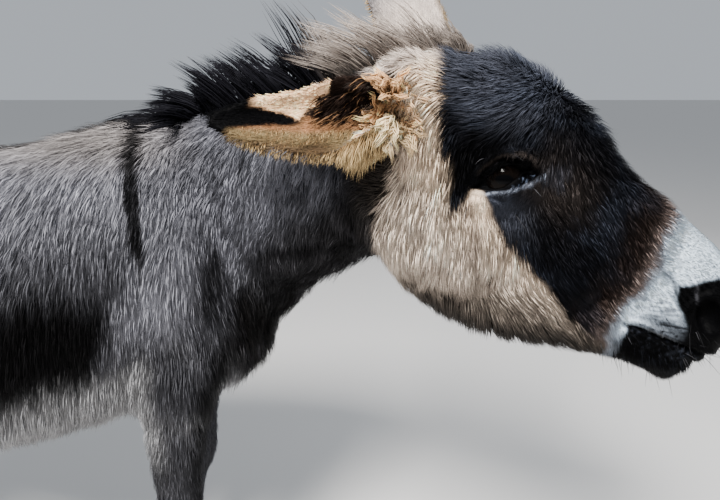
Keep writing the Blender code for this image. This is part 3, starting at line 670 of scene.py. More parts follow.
def body_colour(b, ragged, normal, r):
    """Mouse grey with the two dark lines and a pale belly. Painted shade darkens the lower flank, the chest
    and breast, the throat, the neck's fold and clumps, under the ear and the fronts of the forelegs.
    """
    x, y, z = b.T
    off_head, off_leg = 1 - r["head"], 1 - r["leg"]
    streaks = 0.6 * noise(b * (1, 1, 0.12), 0.010, 19) + 0.4 * noise(b * (1, 1, 0.2), 0.030, 20)
    # painted shade on the lower flank, fading towards the hindquarters
    low_flank = ramp(-z + 0.03 * streaks, -0.94, -0.775)
    low_flank = low_flank * (1 - ramp(x + 0.30 * (0.75 - z) + 0.01 * streaks, -0.045, 0.010))
    low_flank = low_flank * ramp(x + 0.05 * streaks, -0.72, -0.28) * (1 - 0.35 * ramp(y, 0.0, 0.05))
    edge = np.interp(x, (-0.45, -0.25, -0.176, -0.031, 0.03), (0.675, 0.645, 0.652, 0.688, 0.705))
    fringe = ramp(edge - z + 0.020 * streaks, -0.014, 0.030) * ramp(np.abs(y), 0.0, 0.05)
    pale = np.maximum(fringe * (1 - ramp(x, 0.0, 0.04)), r["belly"]) * off_leg
    forearm = ramp(-z + 0.01 * streaks, -0.78, -0.69) * ramp(x, -0.05, -0.015)
    # painted shade on the lower flank and the chest
    colour = blend(every(GREY, len(b)), (ramp(z, 0.96, 1.02), BACK_GREY), (r["neck"], NECK_GREY),
                   (low_flank, STRIPE_AND_SHADE), (0.88 * forearm, LEG_GREY), (0.97 * r["chest"], STRIPE_AND_SHADE),
                   (0.8 * r["leg"], LEG_GREY), (pale, PALE_BELLY))
    # painted shadow on the throat and under the ear's base
    throat = r["neck"] * ramp(x - 0.6 * (z - 0.95), 0.27, 0.33)
    under_ear = spot(x, z, (0.350, 0.985), (0.046, 0.058))
    # painted shade in the neck's fold
    fold = np.exp(-((beyond(x, z, NECK_FOLD) + 0.003 * ragged) / 0.0075) ** 2)
    fold = fold * ramp(x, 0.17, 0.22) * off_head
    # painted shade on the breast, with frosted hair over it
    breast = ramp(-beyond(x, z, CHEST_EDGE) + 0.010 * ragged, -0.018, 0.034) * off_head * off_leg
    frost = 0.35 * breast * ramp(noise(b, 0.020, 43), 0.0, 0.8)
    # painted shade on the forward-facing lower chest and forelegs
    shaded = off_head * ramp(normal[:, 0], 0.35, 0.8) * ramp(x, 0.02, 0.08) * ramp(-z, -0.70, -0.60)
    # painted shade between the clumps of the neck's coat
    blots = noise(b * (1, 1, 0.6), 0.022, 25) + 0.6 * noise(b * (1, 1, 0.5), 0.009, 26)
    clump_shade = 0.55 * r["neck"] * ramp(blots, 0.1, 1.1)
    colour = blend(colour, (clump_shade, STRIPE_AND_SHADE), (0.80 * throat, STRIPE_AND_SHADE), (under_ear, STRIPE_AND_SHADE),
                   (0.86 * breast, BREAST_SHADE), (frost, BREAST_FROST), (0.9 * fold, STRIPE_AND_SHADE), (0.8 * shaded, STRIPE_AND_SHADE))
    stripe = np.interp(z, (0.80, 0.863, 0.963, 1.04), (0.034, 0.027, 0.014, -0.004))
    half = np.interp(z, (0.80, 0.86, 1.04), (0.0025, 0.0055, 0.0105))
    on_shoulder = 1 - ramp(np.abs(x - stripe) + 0.0015 * ragged, half, half + 0.0035)
    on_shoulder = on_shoulder * ramp(z, 0.825, 0.87)
    on_back = (1 - ramp(np.abs(y) + 0.004 * ragged, 0.022, 0.036)) * ramp(normal[:, 2], 0.2, 0.5)
    on_back = on_back * (1 - ramp(x, 0.0, 0.1)) * off_head
    return blend(colour, (0.95 * on_shoulder, STRIPE_AND_SHADE), (0.9 * on_back, STRIPE_AND_SHADE))


def eye_colour(h, p, colour):
    """Black lids whose black runs on as painted shadow under the upper lid, a brownish fold above, painted
    shadow under the brow, a pale broken line below and blue specks at the front corner.
    """
    along, across, outside = lid_places(h)
    near = near_eye(h, 0.070).astype(float)
    above = across - np.interp(along, LID_ALONG, UPPER_LID)
    under = np.interp(along, LID_ALONG, LASH_LINE) - across
    wide = ramp(along, -0.042, -0.034) * (1 - ramp(along, 0.036, 0.044))
    # black lid skin that runs on as painted shadow under the upper lid
    lids = near * wide * (1 - ramp(above, 0.0035, 0.0065)) * (1 - ramp(under, -0.001, 0.0012))
    corner = lids * ramp(along, 0.002, 0.010) * ramp(outside, 0.0008, 0.002) * ramp(-above, 0.0, 0.004)
    specks = ramp(noise(p, 0.0024, 16), 0.05, 0.6)
    broken = 0.25 + 0.9 * ramp(noise(p, 0.0030, 17) + 0.6 * noise(p, 0.0013, 35), -0.5, 0.6)
    pale = near * bump(under, -0.001, 0.0025, 0.0085) * ramp(along, -0.030, -0.022)
    pale = pale * (1 - ramp(along, 0.036, 0.050)) * broken
    fold = near * bump(above, 0.005, 0.009, 0.014) * ramp(along, -0.030, -0.015)
    fold = fold * (1 - ramp(along, 0.03, 0.045))
    # painted shadow under the brow, above the upper lid
    shadow = near * ramp(above, 0.004, 0.010) * (1 - ramp(above, 0.020, 0.034))
    shadow = shadow * (1 - ramp(along, -0.005, 0.020))
    return blend(colour, (0.75 * shadow, BLACK), (0.65 * fold, BROW_BROWN), (0.80 * pale, (0.24, 0.27, 0.34)),
                 (lids, BLACK), (corner * specks, (0.075, 0.095, 0.140)))


def face_colour(h, ragged, p):
    """Dark face, partly a painted cast shadow, with a painted highlight on the forehead; pale cheeks; a grey
    jaw darkened underneath by painted shade; a grey poll; and painted shade under the ear and in the fold
    over the eye.
    """
    x, _, z = h.T
    from_muzzle = beyond(x, z, MUZZLE_EDGE)
    # the dark face, partly a painted cast shadow
    face = ramp(beyond(x, z, FACE_AND_SHADOW_EDGE) + 0.004 * ragged, -0.004, 0.006)
    warm = bump(from_muzzle + 0.008 * ragged, -0.020, -0.002, 0.008)
    # the low jaw, darker by painted shade as it faces down
    low = ramp(-z + 0.55 * x + 0.014 * ragged, 0.252, 0.355)
    tan = noise(p * (1, 1, 0.35), 0.011, 23) + 0.6 * noise(p * (1, 1, 0.5), 0.028, 24)
    poll = 1 - ramp(x - 0.5 * z, -0.01, 0.03)
    grizzle = noise(p, 0.030, 14) + 0.5 * noise(p, 0.009, 18)
    # the upper forehead: frosted hair and a painted highlight from above
    fore = (1 - ramp(x, 0.09, 0.16)) * ramp(z, -0.05, -0.01)
    dark = blend(every(FACE_DARK_AND_SHADE, len(h)), (0.9 * fore, FOREHEAD_FROST_AND_SHEEN),
                 (0.6 * spot(x, z, (0.195, -0.030), (0.045, 0.030)), BROW_BROWN),
                 (0.5 * ramp(grizzle, -0.3, 1.0), GRIZZLE),
                 (0.8 * spot(x, z, (0.172, -0.090), (0.030, 0.022)), UNDER_EYE),
                 (0.55 * ramp(from_muzzle, -0.065, -0.012), NOSE_BROWN))
    # painted shadow behind the cheek, under the ear
    behind = ramp(-beyond(x, z, CHEEK_EDGE) + 0.004 * ragged, -0.003, 0.012) * ramp(-z, 0.085, 0.12)
    # painted shade in the fold above the eye
    brow = np.exp(-(beyond(x, z, BROW_SHADE_LINE) / 0.014) ** 2) * (x < 0.16)
    return blend(every(CREAM, len(h)), (ramp(z, -0.16, -0.09), WARM_CREAM),
                 (0.62 * ramp(tan, -0.1, 1.0), CHEEK_TAN), (low, JAW_GREY_AND_SHADE), (poll, POLL_GREY),
                 (0.93 * behind, STRIPE_AND_SHADE), (face, dark), (0.7 * brow * face, BLACK),
                 (0.45 * warm * face, FACE_RIM))


def head_colour(h, ragged, p):
    """The face, with a white muzzle that is black round the nostrils and the lips, and the lids."""
    x, y, z = h.T
    gap, from_muzzle = above_mouth(h), beyond(x, z, MUZZLE_EDGE)
    muzzle = ramp(from_muzzle + 0.006 * ragged, -0.006, 0.007)
    warm = bump(from_muzzle + 0.008 * ragged, -0.020, -0.002, 0.008) * ramp(z, -0.11, -0.06)
    below = ramp(-gap, -0.002, 0.001) * ramp(x + 0.57 * z + 0.002 * ragged, 0.3105, 0.3185)
    lie = np.stack([x * 0.78 + z * 0.63, y, z * 0.78 - x * 0.63], axis=1)
    lines = noise(lie * (0.16, 0.3, 1.0), 0.0030, 27) + 0.4 * noise(lie * (0.2, 0.3, 1.0), 0.0014, 28)
    wrinkled = spot(x, z, (0.374, -0.050), (0.026, 0.020)) * ramp(lines, 0.1, 0.5)
    nearer = ramp(0.042 - gap, 0.0, 0.022) * ramp(x, 0.366, 0.398)
    spots = ramp(noise(p, 0.0050, 15) + 0.4 * noise(p, 0.002, 29), 0.15, 0.55)
    spotted = spots * ramp(0.020 - gap, 0.0, 0.006) * ramp(gap, 0.002, 0.006) * ramp(x, 0.366, 0.378)
    edge = bump(gap, 0.000, 0.0022, 0.0050) * ramp(x, 0.372, 0.382) * (1 - ramp(x, 0.415, 0.435))
    specks = ramp(noise(p, 0.0036, 36) + 0.5 * noise(p, 0.0016, 37), 0.45, 0.80)
    # painted shade in the crease behind the nostril
    crease = np.exp(-(beyond(x, z, NOSE_CREASE) / 0.0024) ** 2)
    front = ramp(beyond(x, z, NOSTRIL_EDGE) + 0.0015 * ragged, -0.004, 0.002)
    arc = np.exp(-(beyond(x, z, NOSTRIL_RIM) / 0.0016) ** 2)
    ash = ramp(noise(p, 0.0030, 38) + 0.5 * noise(p, 0.012, 39), 0.1, 0.9)
    fading = ramp(-z + 0.006 * ragged, 0.100, 0.122) * ramp(noise(p * (1, 1, 0.4), 0.005, 44), -1.6, 0.0)
    soft = ramp(0.012 - from_muzzle, 0.0, 0.012) * ramp(-z, 0.070, 0.090)
    soft = soft * ramp(noise(p * (1, 1, 0.3), 0.004, 45), -0.6, 0.6)
    layers = ((0.90 * fading, (0.075, 0.080, 0.095)), (0.8 * soft, (0.11, 0.10, 0.10)),
              (0.30 * specks, (0.16, 0.18, 0.21)), (0.9 * wrinkled, (0.05, 0.05, 0.06)),
              (0.93 * nearer, (0.105, 0.118, 0.140)),
              (0.9 * nearer * ramp(lines, -0.1, 0.6), (0.010, 0.011, 0.014)),
              (0.9 * nearer * ramp(x, 0.402, 0.428), BLACK), (0.92 * spotted, (0.004, 0.004, 0.005)),
              (0.7 * edge, (0.26, 0.27, 0.29)), (0.8 * crease, (0.010, 0.010, 0.012)), (front, BLACK),
              (0.35 * arc, (0.07, 0.07, 0.08)), (below, BLACK), (0.45 * ash * below, (0.030, 0.034, 0.046)))
    colour = blend(face_colour(h, ragged, p), (muzzle, WHITE), (0.4 * warm, MUZZLE_RIM),
                   *((share * muzzle, tint) for share, tint in layers))
    return eye_colour(h, p, colour)


def markings(p, normal, r):
    """The coat's colour at each point, as linear red, green and blue."""
    b, h = p - WITHERS, to_head(p)
    ragged = 0.5 * noise(p, 0.012, 3) + 0.5 * noise(p, 0.030, 4)
    uneven = 1 + 0.15 * noise(p, 0.11, 5) + 0.10 * noise(p, 0.035, 13)
    colour = body_colour(b, ragged, normal, r) * uneven[:, None]
    colour = blend(colour, (r["head"], head_colour(h, ragged, p)))
    for ear in EAR_SHAPES:
        t = ear.places(p)[0]
        back = blend(every(POLL_GREY, len(p)), (ramp(t, 0.2, 0.6), NECK_GREY), (ramp(t, 0.66, 0.80), BLACK))
        colour = blend(colour, (r[f"ear_{ear.side}"], blend(back, (r["inside"], ear_colour(p, ear)))))
    return np.clip(colour, LOWEST, HIGHEST)


def paint(mesh, name, colours):
    """Stores a colour for each point of a mesh."""
    layer = mesh.color_attributes.new(name=name, type="FLOAT_COLOR", domain="POINT")
    rows = np.hstack([colours, np.ones((len(colours), 1))])
    layer.data.foreach_set("color", rows.astype(np.float32).ravel())


points, normal = points_of(skin.data), normals_of(skin.data)
# the skin is darker than the tufts, as painted shade between the roots
SKIN_SHADE_TONE = 0.8       # the skin's colour between the tufts, against theirs
paint(skin.data, "Marking", SKIN_SHADE_TONE * markings(points, normal, regions(points, normal)))
print("the skin is marked at", len(points), "points")

# %% [markdown]
# ## Where the coat grows, and how it lies
# Roots are spread by area, closer together where the hair is fine. Each one gets a length, a width, a lift
# off the skin and a direction: back and down on the body, down on the cheeks, and forward along the nose.


# %% Spread the roots
def spread_roots(mesh, count, density):
    """(place, normal, map place) of random roots, as many on each face as its area and density ask."""
    mesh.calc_loop_triangles()
    n = len(mesh.loop_triangles)
    corners, loops = np.empty(3 * n, np.int32), np.empty(3 * n, np.int32)
    mesh.loop_triangles.foreach_get("vertices", corners)
    mesh.loop_triangles.foreach_get("loops", loops)
    corners, loops = corners.reshape(-1, 3), loops.reshape(-1, 3)
    places = np.empty(2 * len(mesh.loops), np.float32)
    mesh.uv_layers["OFBake"].uv.foreach_get("vector", places)
    p, across = points_of(mesh)[corners], places.reshape(-1, 2)[loops]
    out = normals_of(mesh)[corners]
    area = np.linalg.norm(np.cross(p[:, 1] - p[:, 0], p[:, 2] - p[:, 0]), axis=1) / 2
    weight = np.cumsum(area * density(p.mean(axis=1), unit(out.mean(axis=1))))
    face = np.searchsorted(weight, rng.random(count) * weight[-1])
    u, v = rng.random((2, count))
    u, v = np.where(u + v > 1, 1 - u, u), np.where(u + v > 1, 1 - v, v)
    share = np.stack([1 - u - v, u, v], axis=1)[:, :, None]
    place, normal, map_place = ((values[face] * share).sum(axis=1) for values in (p, out, across))
    return place, unit(normal), map_place


def hair_density(p, normal):
    """Tufts for each square metre, against those on the hindquarters."""
    r = regions(p, normal)
    dense = blend(np.ones(len(p)), (r["neck"], 1.25), (r["head"], 3.0), (r["nose"], 4.2), (r["muzzle"], 6.5),
                  (r["eye"], 6.0), (r["leg"], 1.2), (r["ear"], 3.0), (r["inside"], 4.0), (r["tail"], 1.5))
    dense *= 1 + 0.8 * ramp(-normal[:, 1], -0.4, 0.2) * ramp(p[:, 0] - WITHERS[0], -0.55, -0.25)
    h = to_head(p)
    bare = (near_eye(h, 0.052) & (lid_places(h)[2] < 0.0035)) | by_nostril(h, 0.019)
    mouth = (np.abs(above_mouth(h)) < 0.004) & (h[:, 0] > 0.36)
    return np.where(bare | mouth, 0.0, dense)


def lie_of(p, normal, r):
    """The way the hair points at each root, along the skin."""
    h = to_head(p)
    forward, up = AXES[0], AXES[2]
    side = np.sign(h[:, 1])[:, None] * AXES[1]
    whorl = (h[:, :1] - 0.13) * forward / 0.06 + side * np.abs(h[:, 1:2]) / 0.05 - 0.35 * up
    back = ramp(p[:, 2] - WITHERS[2], 0.97, 1.06)
    by_lips = r["muzzle"] * ramp(0.030 - above_mouth(h), 0.0, 0.02)
    way = blend(every((-0.14, 0.0, -0.99), len(p)), (back, (-0.62, 0.0, -0.78)),
                (r["neck"], (-0.20, 0.0, -0.98)), (r["chest"], (0.1, 0.0, -1.0)),
                (r["leg"], (-0.12, 0.0, -1.0)), (r["tail"], (-0.1, 0.0, -1.0)), (r["head"], unit(whorl)),
                (r["nose"], 0.9 * forward + 0.30 * side - 0.35 * up), (r["cheek"], (0.05, 0.0, -1.0)),
                (r["jaw"], (-0.05, 0.0, -1.0)), (r["muzzle"], 0.9 * forward + 0.30 * up),
                (by_lips, 0.8 * forward - 0.6 * up))
    for ear in EAR_SHAPES:
        t, across = ear.places(p)
        rims = unit(ear.along + 1.1 * np.minimum(across, 0.0)[:, None] / 0.03 * ear.across)
        way = blend(way, (r[f"ear_{ear.side}"], blend(every(ear.along, len(p)), (r["inside"], rims))))
    return unit(way - normal * (way * normal).sum(axis=1, keepdims=True) + 1e-4 * AXES[0])


def turned(way, normal, angle):
    """Each way, turned about its normal by its angle in radians."""
    return way * np.cos(angle)[:, None] + np.cross(normal, way) * np.sin(angle)[:, None]


def hair_sizes(p, r):
    """(length, width, lift in radians, how far tips draw together) for each root."""
    n = len(p)
    _, y, z = (p - WITHERS).T
    rim = r["inside"] * ramp(-EAR_SHAPES[0].places(p)[1], 0.008, 0.02) * r["ear_right"]
    length = blend(np.full(n, 0.040), (r["neck"], 0.029), (r["belly"], 0.060), (r["chest"], 0.040),
                   (r["leg"], 0.022), (r["foot"], 0.011), (r["tail"], 0.030), (r["head"], 0.029),
                   (r["cheek"], 0.032), (r["jaw"], 0.040), (r["nose"], 0.025), (r["muzzle"], 0.0065),
                   (r["chin"], 0.0150), (r["eye"], 0.0095), (r["ear"], 0.009), (r["inside"], 0.008),
                   (rim, 0.014))
    width = blend(np.full(n, 0.00136), (r["head"], 0.00117), (r["nose"], 0.0011), (r["muzzle"], 0.0008),
                  (r["eye"], 0.0008), (r["leg"], 0.0013), (r["ear"], 0.0011))
    spine = (1 - r["head"]) * (1 - ramp(np.abs(y), 0.02, 0.04)) * ramp(z, 0.98, 1.02)
    lift = blend(np.full(n, 11.0), (r["neck"], 14.0), (r["belly"], 20.0), (r["chest"], 20.0),
                 (r["leg"], 10.0), (r["head"], 26.0), (r["cheek"], 15.0), (r["jaw"], 20.0), (r["nose"], 22.0),
                 (r["muzzle"], 10.0), (r["chin"], 24.0), (r["eye"], 14.0), (r["ear"], 10.0),
                 (r["inside"], 16.0), (0.8 * spine, 26.0))
    pull = blend(np.full(n, 0.15), (r["neck"], 0.30), (r["chest"], 0.40), (r["belly"], 0.3),
                 (r["head"], 0.26), (r["jaw"], 0.45), (r["leg"], 0.15), (r["muzzle"], 0.0), (r["ear"], 0.15))
    return length, width, np.radians(lift), pull


COUNT = int(SHARE * 262000)      # tufts
root, out, place = spread_roots(skin.data, COUNT, hair_density)
r = regions(root, out)
swirl = 0.13 * noise(root, 0.08, 7) + 0.12 * noise(root, 0.022, 8) * (1 + 2.0 * r["neck"] + 1.3 * r["head"])
stray = rng.normal(0, 0.09, COUNT) * (1 + 0.6 * r["head"] + 0.8 * r["neck"])
way = turned(lie_of(root, out, r), out, swirl + stray)
length, width, lift, pull = hair_sizes(root, r)
length = length * (1 + 0.15 * noise(root, 0.03, 9)) * rng.uniform(0.75, 1.2, COUNT)
lift = lift * (1 + 0.35 * noise(root, 0.022, 10)) * rng.uniform(0.7, 1.3, COUNT)
width = width * rng.uniform(0.75, 1.25, COUNT) / math.sqrt(SHARE)
print(COUNT, "roots, of which on the head", int((r["head"] > 0.5).sum()))

# %% [markdown]
# ## Tufts
# A tuft is a thin closed spike with a ridge along its top. Some of the longer ones have a bend in the middle,
# so that their tips turn back to the body. Neighbouring tips draw together, as locks of a winter coat do.

# %% Draw the tips together
LOCK = 8      # tufts that share one tip
HEAP = 70     # tufts that stand together as a soft heap, longer down the body than it is wide


def tree_of(places):
    """A tree that finds which of these places is the nearest."""
    tree = KDTree(len(places))
    for k, place in enumerate(places):
        tree.insert(place, k)
    tree.balance()
    return tree


tip = root + length[:, None] * (np.cos(lift)[:, None] * way + 0.85 * np.sin(lift)[:, None] * out)
centres = rng.choice(COUNT, COUNT // LOCK, replace=False)
tree = tree_of(root[centres])
lock = np.array([tree.find(q)[1] for q in root.tolist()])
leader = centres[lock]
alike = ((out * out[leader]).sum(axis=1) > 0.5) & (np.linalg.norm(root - root[leader], axis=1) < 0.02)
tip = tip + np.where(alike, pull, 0)[:, None] * (tip[leader] - tip)

flat = root * (1, 1, 0.45)
middles = rng.choice(COUNT, COUNT // HEAP, replace=False)
tree = tree_of(flat[middles])
found = [tree.find(q)[1:] for q in flat.tolist()]
heap, far = np.array([hit[0] for hit in found]), np.array([hit[1] for hit in found])
reach = np.bincount(heap, far, len(middles)) / np.maximum(np.bincount(heap, minlength=len(middles)), 1)
tousled = (0.75 * r["cheek"] + 0.9 * r["jaw"] + 0.6 * r["neck"] + 0.7 * r["chest"] + 0.6 * r["belly"]
           + 0.35 * r["head"] + 0.15)
sleek = (1 - r["muzzle"]) * (1 - r["eye"]) * (1 - r["ear"]) * (1 - 0.6 * r["leg"])
tousled = np.clip(tousled, 0, 1) * sleek
near_heap = np.linalg.norm(root - root[middles[heap]], axis=1) < 0.03
tip = tip + (0.30 * tousled * near_heap)[:, None] * (tip[middles[heap]] - tip)
# colour that varies by clump, strongest on the neck and cheeks, partly painted shade between clumps
clumps = 0.13 * noise(root * (1, 1, 0.30), 0.009, 21) + 0.12 * noise(root * (1, 1, 0.5), 0.030, 22)
clumps = clumps * (1 + 1.0 * np.maximum(r["neck"], r["cheek"]))
by_lock, by_tuft = rng.normal(0, 1, len(centres))[lock], rng.normal(0, 1, COUNT)
shade = 0.08 * by_lock + 0.14 * by_tuft * (1 + 0.6 * r["head"] + 0.5 * r["neck"]) + clumps
# painted shade on the tufts at the edge of each heap
shade -= tousled * 0.34 * (np.clip(far / np.maximum(reach[heap], 1e-4), 0, 2.2) - 0.9)
shade = np.exp(shade)
print(len(centres), "locks")

# %% Build tufts as meshes
PATCH = 0.0015              # half the side of a tuft's patch on the map
PIECE_TRIANGLES = 199000    # the most in a piece of coat
BENT = 0.16                 # the share of the longer tufts that has a bend
# each tuft is darker at its root and lighter at its tip: painted shade and light
ROOT_SHADE_TONE, TIP_LIGHT_TONE = 0.80, 1.12


def tufts(name, path, out, width, thick, taper, place, colours):
    """One closed three-sided spike along each path. path and colours have one row for each ring and the tip,
    and taper has the share of the width at each ring."""
    n, rings = len(path), path.shape[1] - 1
    points = np.empty((n, 3 * rings + 1, 3))
    for k in range(rings):
        line = path[:, k + 1] - path[:, max(k - 1, 0)]
        side = unit(np.cross(out, line))
        up = unit(np.cross(line, side))
        half = (width * taper[k] / 2)[:, None]
        points[:, 3 * k] = path[:, k] - side * half
        points[:, 3 * k + 1] = path[:, k] + side * half
        points[:, 3 * k + 2] = path[:, k] + up * (2 * half * thick)
    points[:, -1] = path[:, -1]
    faces = [(0, 2, 1)]
    for k in range(0, 3 * rings - 3, 3):
        for a, b in ((0, 1), (1, 2), (2, 0)):
            faces += [(k + a, k + b, k + 3 + b), (k + a, k + 3 + b, k + 3 + a)]
    last = 3 * rings - 3
    faces += [(last + a, last + b, 3 * rings) for a, b in ((0, 1), (1, 2), (2, 0))]
    corners = (np.array(faces)[None] + (np.arange(n) * (3 * rings + 1))[:, None, None]).reshape(-1)
    mesh = bpy.data.meshes.new(name)
    mesh.vertices.add(n * (3 * rings + 1))
    mesh.vertices.foreach_set("co", points.astype(np.float32).ravel())
    mesh.loops.add(len(corners))
    mesh.loops.foreach_set("vertex_index", corners.astype(np.int32))
    mesh.polygons.add(len(corners) // 3)
    mesh.polygons.foreach_set("loop_start", np.arange(0, len(corners), 3, dtype=np.int32))
    mesh.update(calc_edges=True)
    mesh.shade_smooth()
    patch = np.zeros((n, 3 * rings + 1, 2))
    for k in range(rings):
        height = 2 * PATCH * k / rings - PATCH
        ring = [(-PATCH, height), (PATCH, height), (0, height + PATCH / 3)]
        patch[:, 3 * k:3 * k + 3] = place[:, None] + ring
    patch[:, -1] = place + (0, PATCH)
    layer = mesh.uv_layers.new(name="OFBake")
    patch = np.clip(patch, 0.001, 0.999).reshape(-1, 2)[corners]
    layer.uv.foreach_set("vector", patch.astype(np.float32).ravel())
    tint = np.repeat(colours, 3, axis=1)[:, :3 * rings + 1]
    paint(mesh, "Marking", np.clip(tint, 0.0008, 0.95).reshape(-1, 3))
    return new_object(name, mesh)


def below(root, out):
    """Where a tuft starts: a little under the skin."""
    return root - out * 0.0012


seen = root + 0.55 * (tip - root)
colour = markings(seen, out, regions(seen, out)) * np.clip(shade, 0.4, 2.2)[:, None]
bent = (length > 0.019) & (rng.random(COUNT) < BENT)
coat = []
for kind, chosen, taper in (("long", bent, (0.8, 1.0)), ("short", ~bent, (1.0,))):
    rings = len(taper)
    most = PIECE_TRIANGLES // (6 * rings - 2)
    picked = np.where(chosen)[0]
    picked = picked[np.argsort(root[picked, 0])]
    for k, part in enumerate(np.array_split(picked, math.ceil(len(picked) / most))):
        bow = 0.10 * length[part, None] * out[part]
        path = [below(root, out)[part], (root[part] + tip[part]) / 2 + bow, tip[part]]
        path = np.stack(path if rings == 2 else path[::2], axis=1)
        tones = np.linspace(ROOT_SHADE_TONE, TIP_LIGHT_TONE, rings + 1)[None, :, None] * colour[part, None]
        coat.append(tufts(f"coat_{kind}_{k + 1}", path, out[part], width[part], 0.30, taper,
                          place[part], tones))
print(len(coat), "pieces of coat,", sum(len(piece.data.polygons) for piece in coat), "triangles")

# %% [markdown]
# ## Longer hair
# The mane, the locks at the ear, the long hair of the ears, the end of the tail, the lashes and the whiskers
# are strands with three bends each. A strand leaves its root one way and turns to another as it grows.

# %% Describe a strand
TURN = 6.3        # radians, just over a whole turn, for the start of a wave
SURFACE = surface_of(skin.data)
corner_places = np.empty(2 * len(skin.data.loops), np.float32)
skin.data.uv_layers["OFBake"].uv.foreach_get("vector", corner_places)
corner_counts = np.array([len(face.vertices) for face in skin.data.polygons])
first_corners = np.concatenate([[0], np.cumsum(corner_counts)[:-1]])
FACE_PLACES = np.add.reduceat(corner_places.reshape(-1, 2), first_corners) / corner_counts[:, None]


def on_skin(q):
    """(place on the skin, normal, map place) nearest to each point."""
    hits = [SURFACE.find_nearest(Vector(point)) for point in q]
    return (np.array([hit[0] for hit in hits]), np.array([hit[1] for hit in hits]),
            FACE_PLACES[[hit[2] for hit in hits]])


def outermost(q, face):
    """The first point of the skin met on the way in, against face, with its normal."""
    hits = [SURFACE.ray_cast(Vector(point + 0.15 * face), Vector(-face)) for point in q]
    return (np.array([hit[0] or point for hit, point in zip(hits, q)]),
            np.array([hit[1] or face for hit in hits]))


def strands(name, root, way, bend, out, length, width, colours, wave=0.0, phase=0.0, place=None):
    """One strand for each root, which leaves along way and turns by bend, with colours for root and tip."""
    steps = np.linspace(0, 1, 5)
    sway = unit(np.cross(way, out))
    place = on_skin(root)[2] if place is None else place
    wave = np.ones(len(root)) * wave
    path = np.stack([root + length[:, None] * (t * way + t * t * bend)
                     + sway * (wave * t * np.sin(8.5 * t + phase))[:, None] for t in steps], axis=1)
    tints = np.stack([colours[0] + t * (colours[1] - colours[0]) for t in steps], axis=1)
    return tufts(name, path, out, width, 0.45, (1.0, 0.95, 0.75, 0.45), place, tints)


def gathered(tip, lock, pull):
    """Tips drawn towards the mean tip of their lock."""
    count = np.maximum(np.bincount(lock), 1)
    mean = np.stack([np.bincount(lock, tip[:, k]) for k in range(3)], axis=1) / count[:, None]
    return tip + np.asarray(pull)[:, None] * (mean[lock] - tip)


# %% Comb the mane
CREST = np.array([(0.462, -0.220, 1.120, 0.022), (0.436, -0.208, 1.120, 0.034), (0.392, -0.188, 1.115, 0.050),
                  (0.326, -0.148, 1.104, 0.064), (0.252, -0.102, 1.086, 0.074), (0.172, -0.050, 1.070, 0.066),
                  (0.105, -0.012, 1.058, 0.056), (0.040, 0.000, 1.048, 0.040), (0.000, 0.000, 1.046, 0.022)])
ACROSS_MANE = np.array([0.35, 0.94, 0.0])
MANE_HAIRS = 3900
n = int(SHARE * MANE_HAIRS)
t = rng.random(n) * (len(CREST) - 1)
line = np.stack([np.interp(t, np.arange(len(CREST)), CREST[:, k]) for k in range(4)], axis=1)
beside = rng.uniform(-0.016, 0.016, n)
root = WITHERS + line[:, :3] + beside[:, None] * ACROSS_MANE
root, _, place = on_skin(root - (0, 0, 0.012))
rear, front = 1 - ramp(line[:, 0], 0.05, 0.16), ramp(line[:, 0], 0.29, 0.345)
side = np.sign(beside)
lock = np.clip((t * 11 + 0.30 * rng.normal(0, 1, n)).astype(int) * 2 + (side > 0), 0, None)
own = rng.normal(0, 1, (lock.max() + 1, 4))[lock]
way = blend(every((-0.45, 0.02, 0.90), n), (rear, (-0.80, -0.30, 0.50)), (front, (-0.34, -0.05, 0.94)))
loose = rng.normal(0, 1, (n, 3)) * (0.12, 0.12, 0.05)
way = unit(way + loose + own[:, :3] * (0.40, 0.24, 0.10) + (beside * 8)[:, None] * ACROSS_MANE)
bend = blend(every((-0.30, -0.02, -0.05), n), (rear, (-0.40, -0.25, -0.55)), (front, (-0.42, -0.06, -0.20)))
length = (line[:, 3] * rng.uniform(0.70, 1.20, n) + 0.008) * (1 + 0.12 * front + 0.35 * rear)
length = length * np.exp(0.22 * own[:, 3])
tip = gathered(root + length[:, None] * (way + bend), lock, blend(np.full(n, 0.62), (front, 0.35)))
bend = (tip - root) / length[:, None] - way
streaked = np.exp(0.45 * noise(root, 0.012, 32) + 0.35 * own[:, 3] - 0.8 * ramp(line[:, 0], 0.405, 0.440))
grey = every(POLL_GREY, n) * (0.20 + 0.42 * rng.random(n) * streaked)[:, None]
brown = ramp(noise(root, 0.02, 33), 0.2, 0.8)
dark = every((0.0045, 0.0045, 0.0060), n) * rng.uniform(0.6, 2.6, n)[:, None]
tint = blend(dark, (front, grey), (0.6 * brown * front, (0.10, 0.075, 0.06)))
thick = blend(np.full(n, 0.0019), (front, 0.0014)) / math.sqrt(SHARE) ** 0.7
mane = strands("mane_hair", below(root, way), way, bend, side[:, None] * ACROSS_MANE, length, thick,
               (0.7 * tint, 1.15 * tint), 0.0011, rng.uniform(0, TURN, n), place)
print("the mane has", n, "strands")

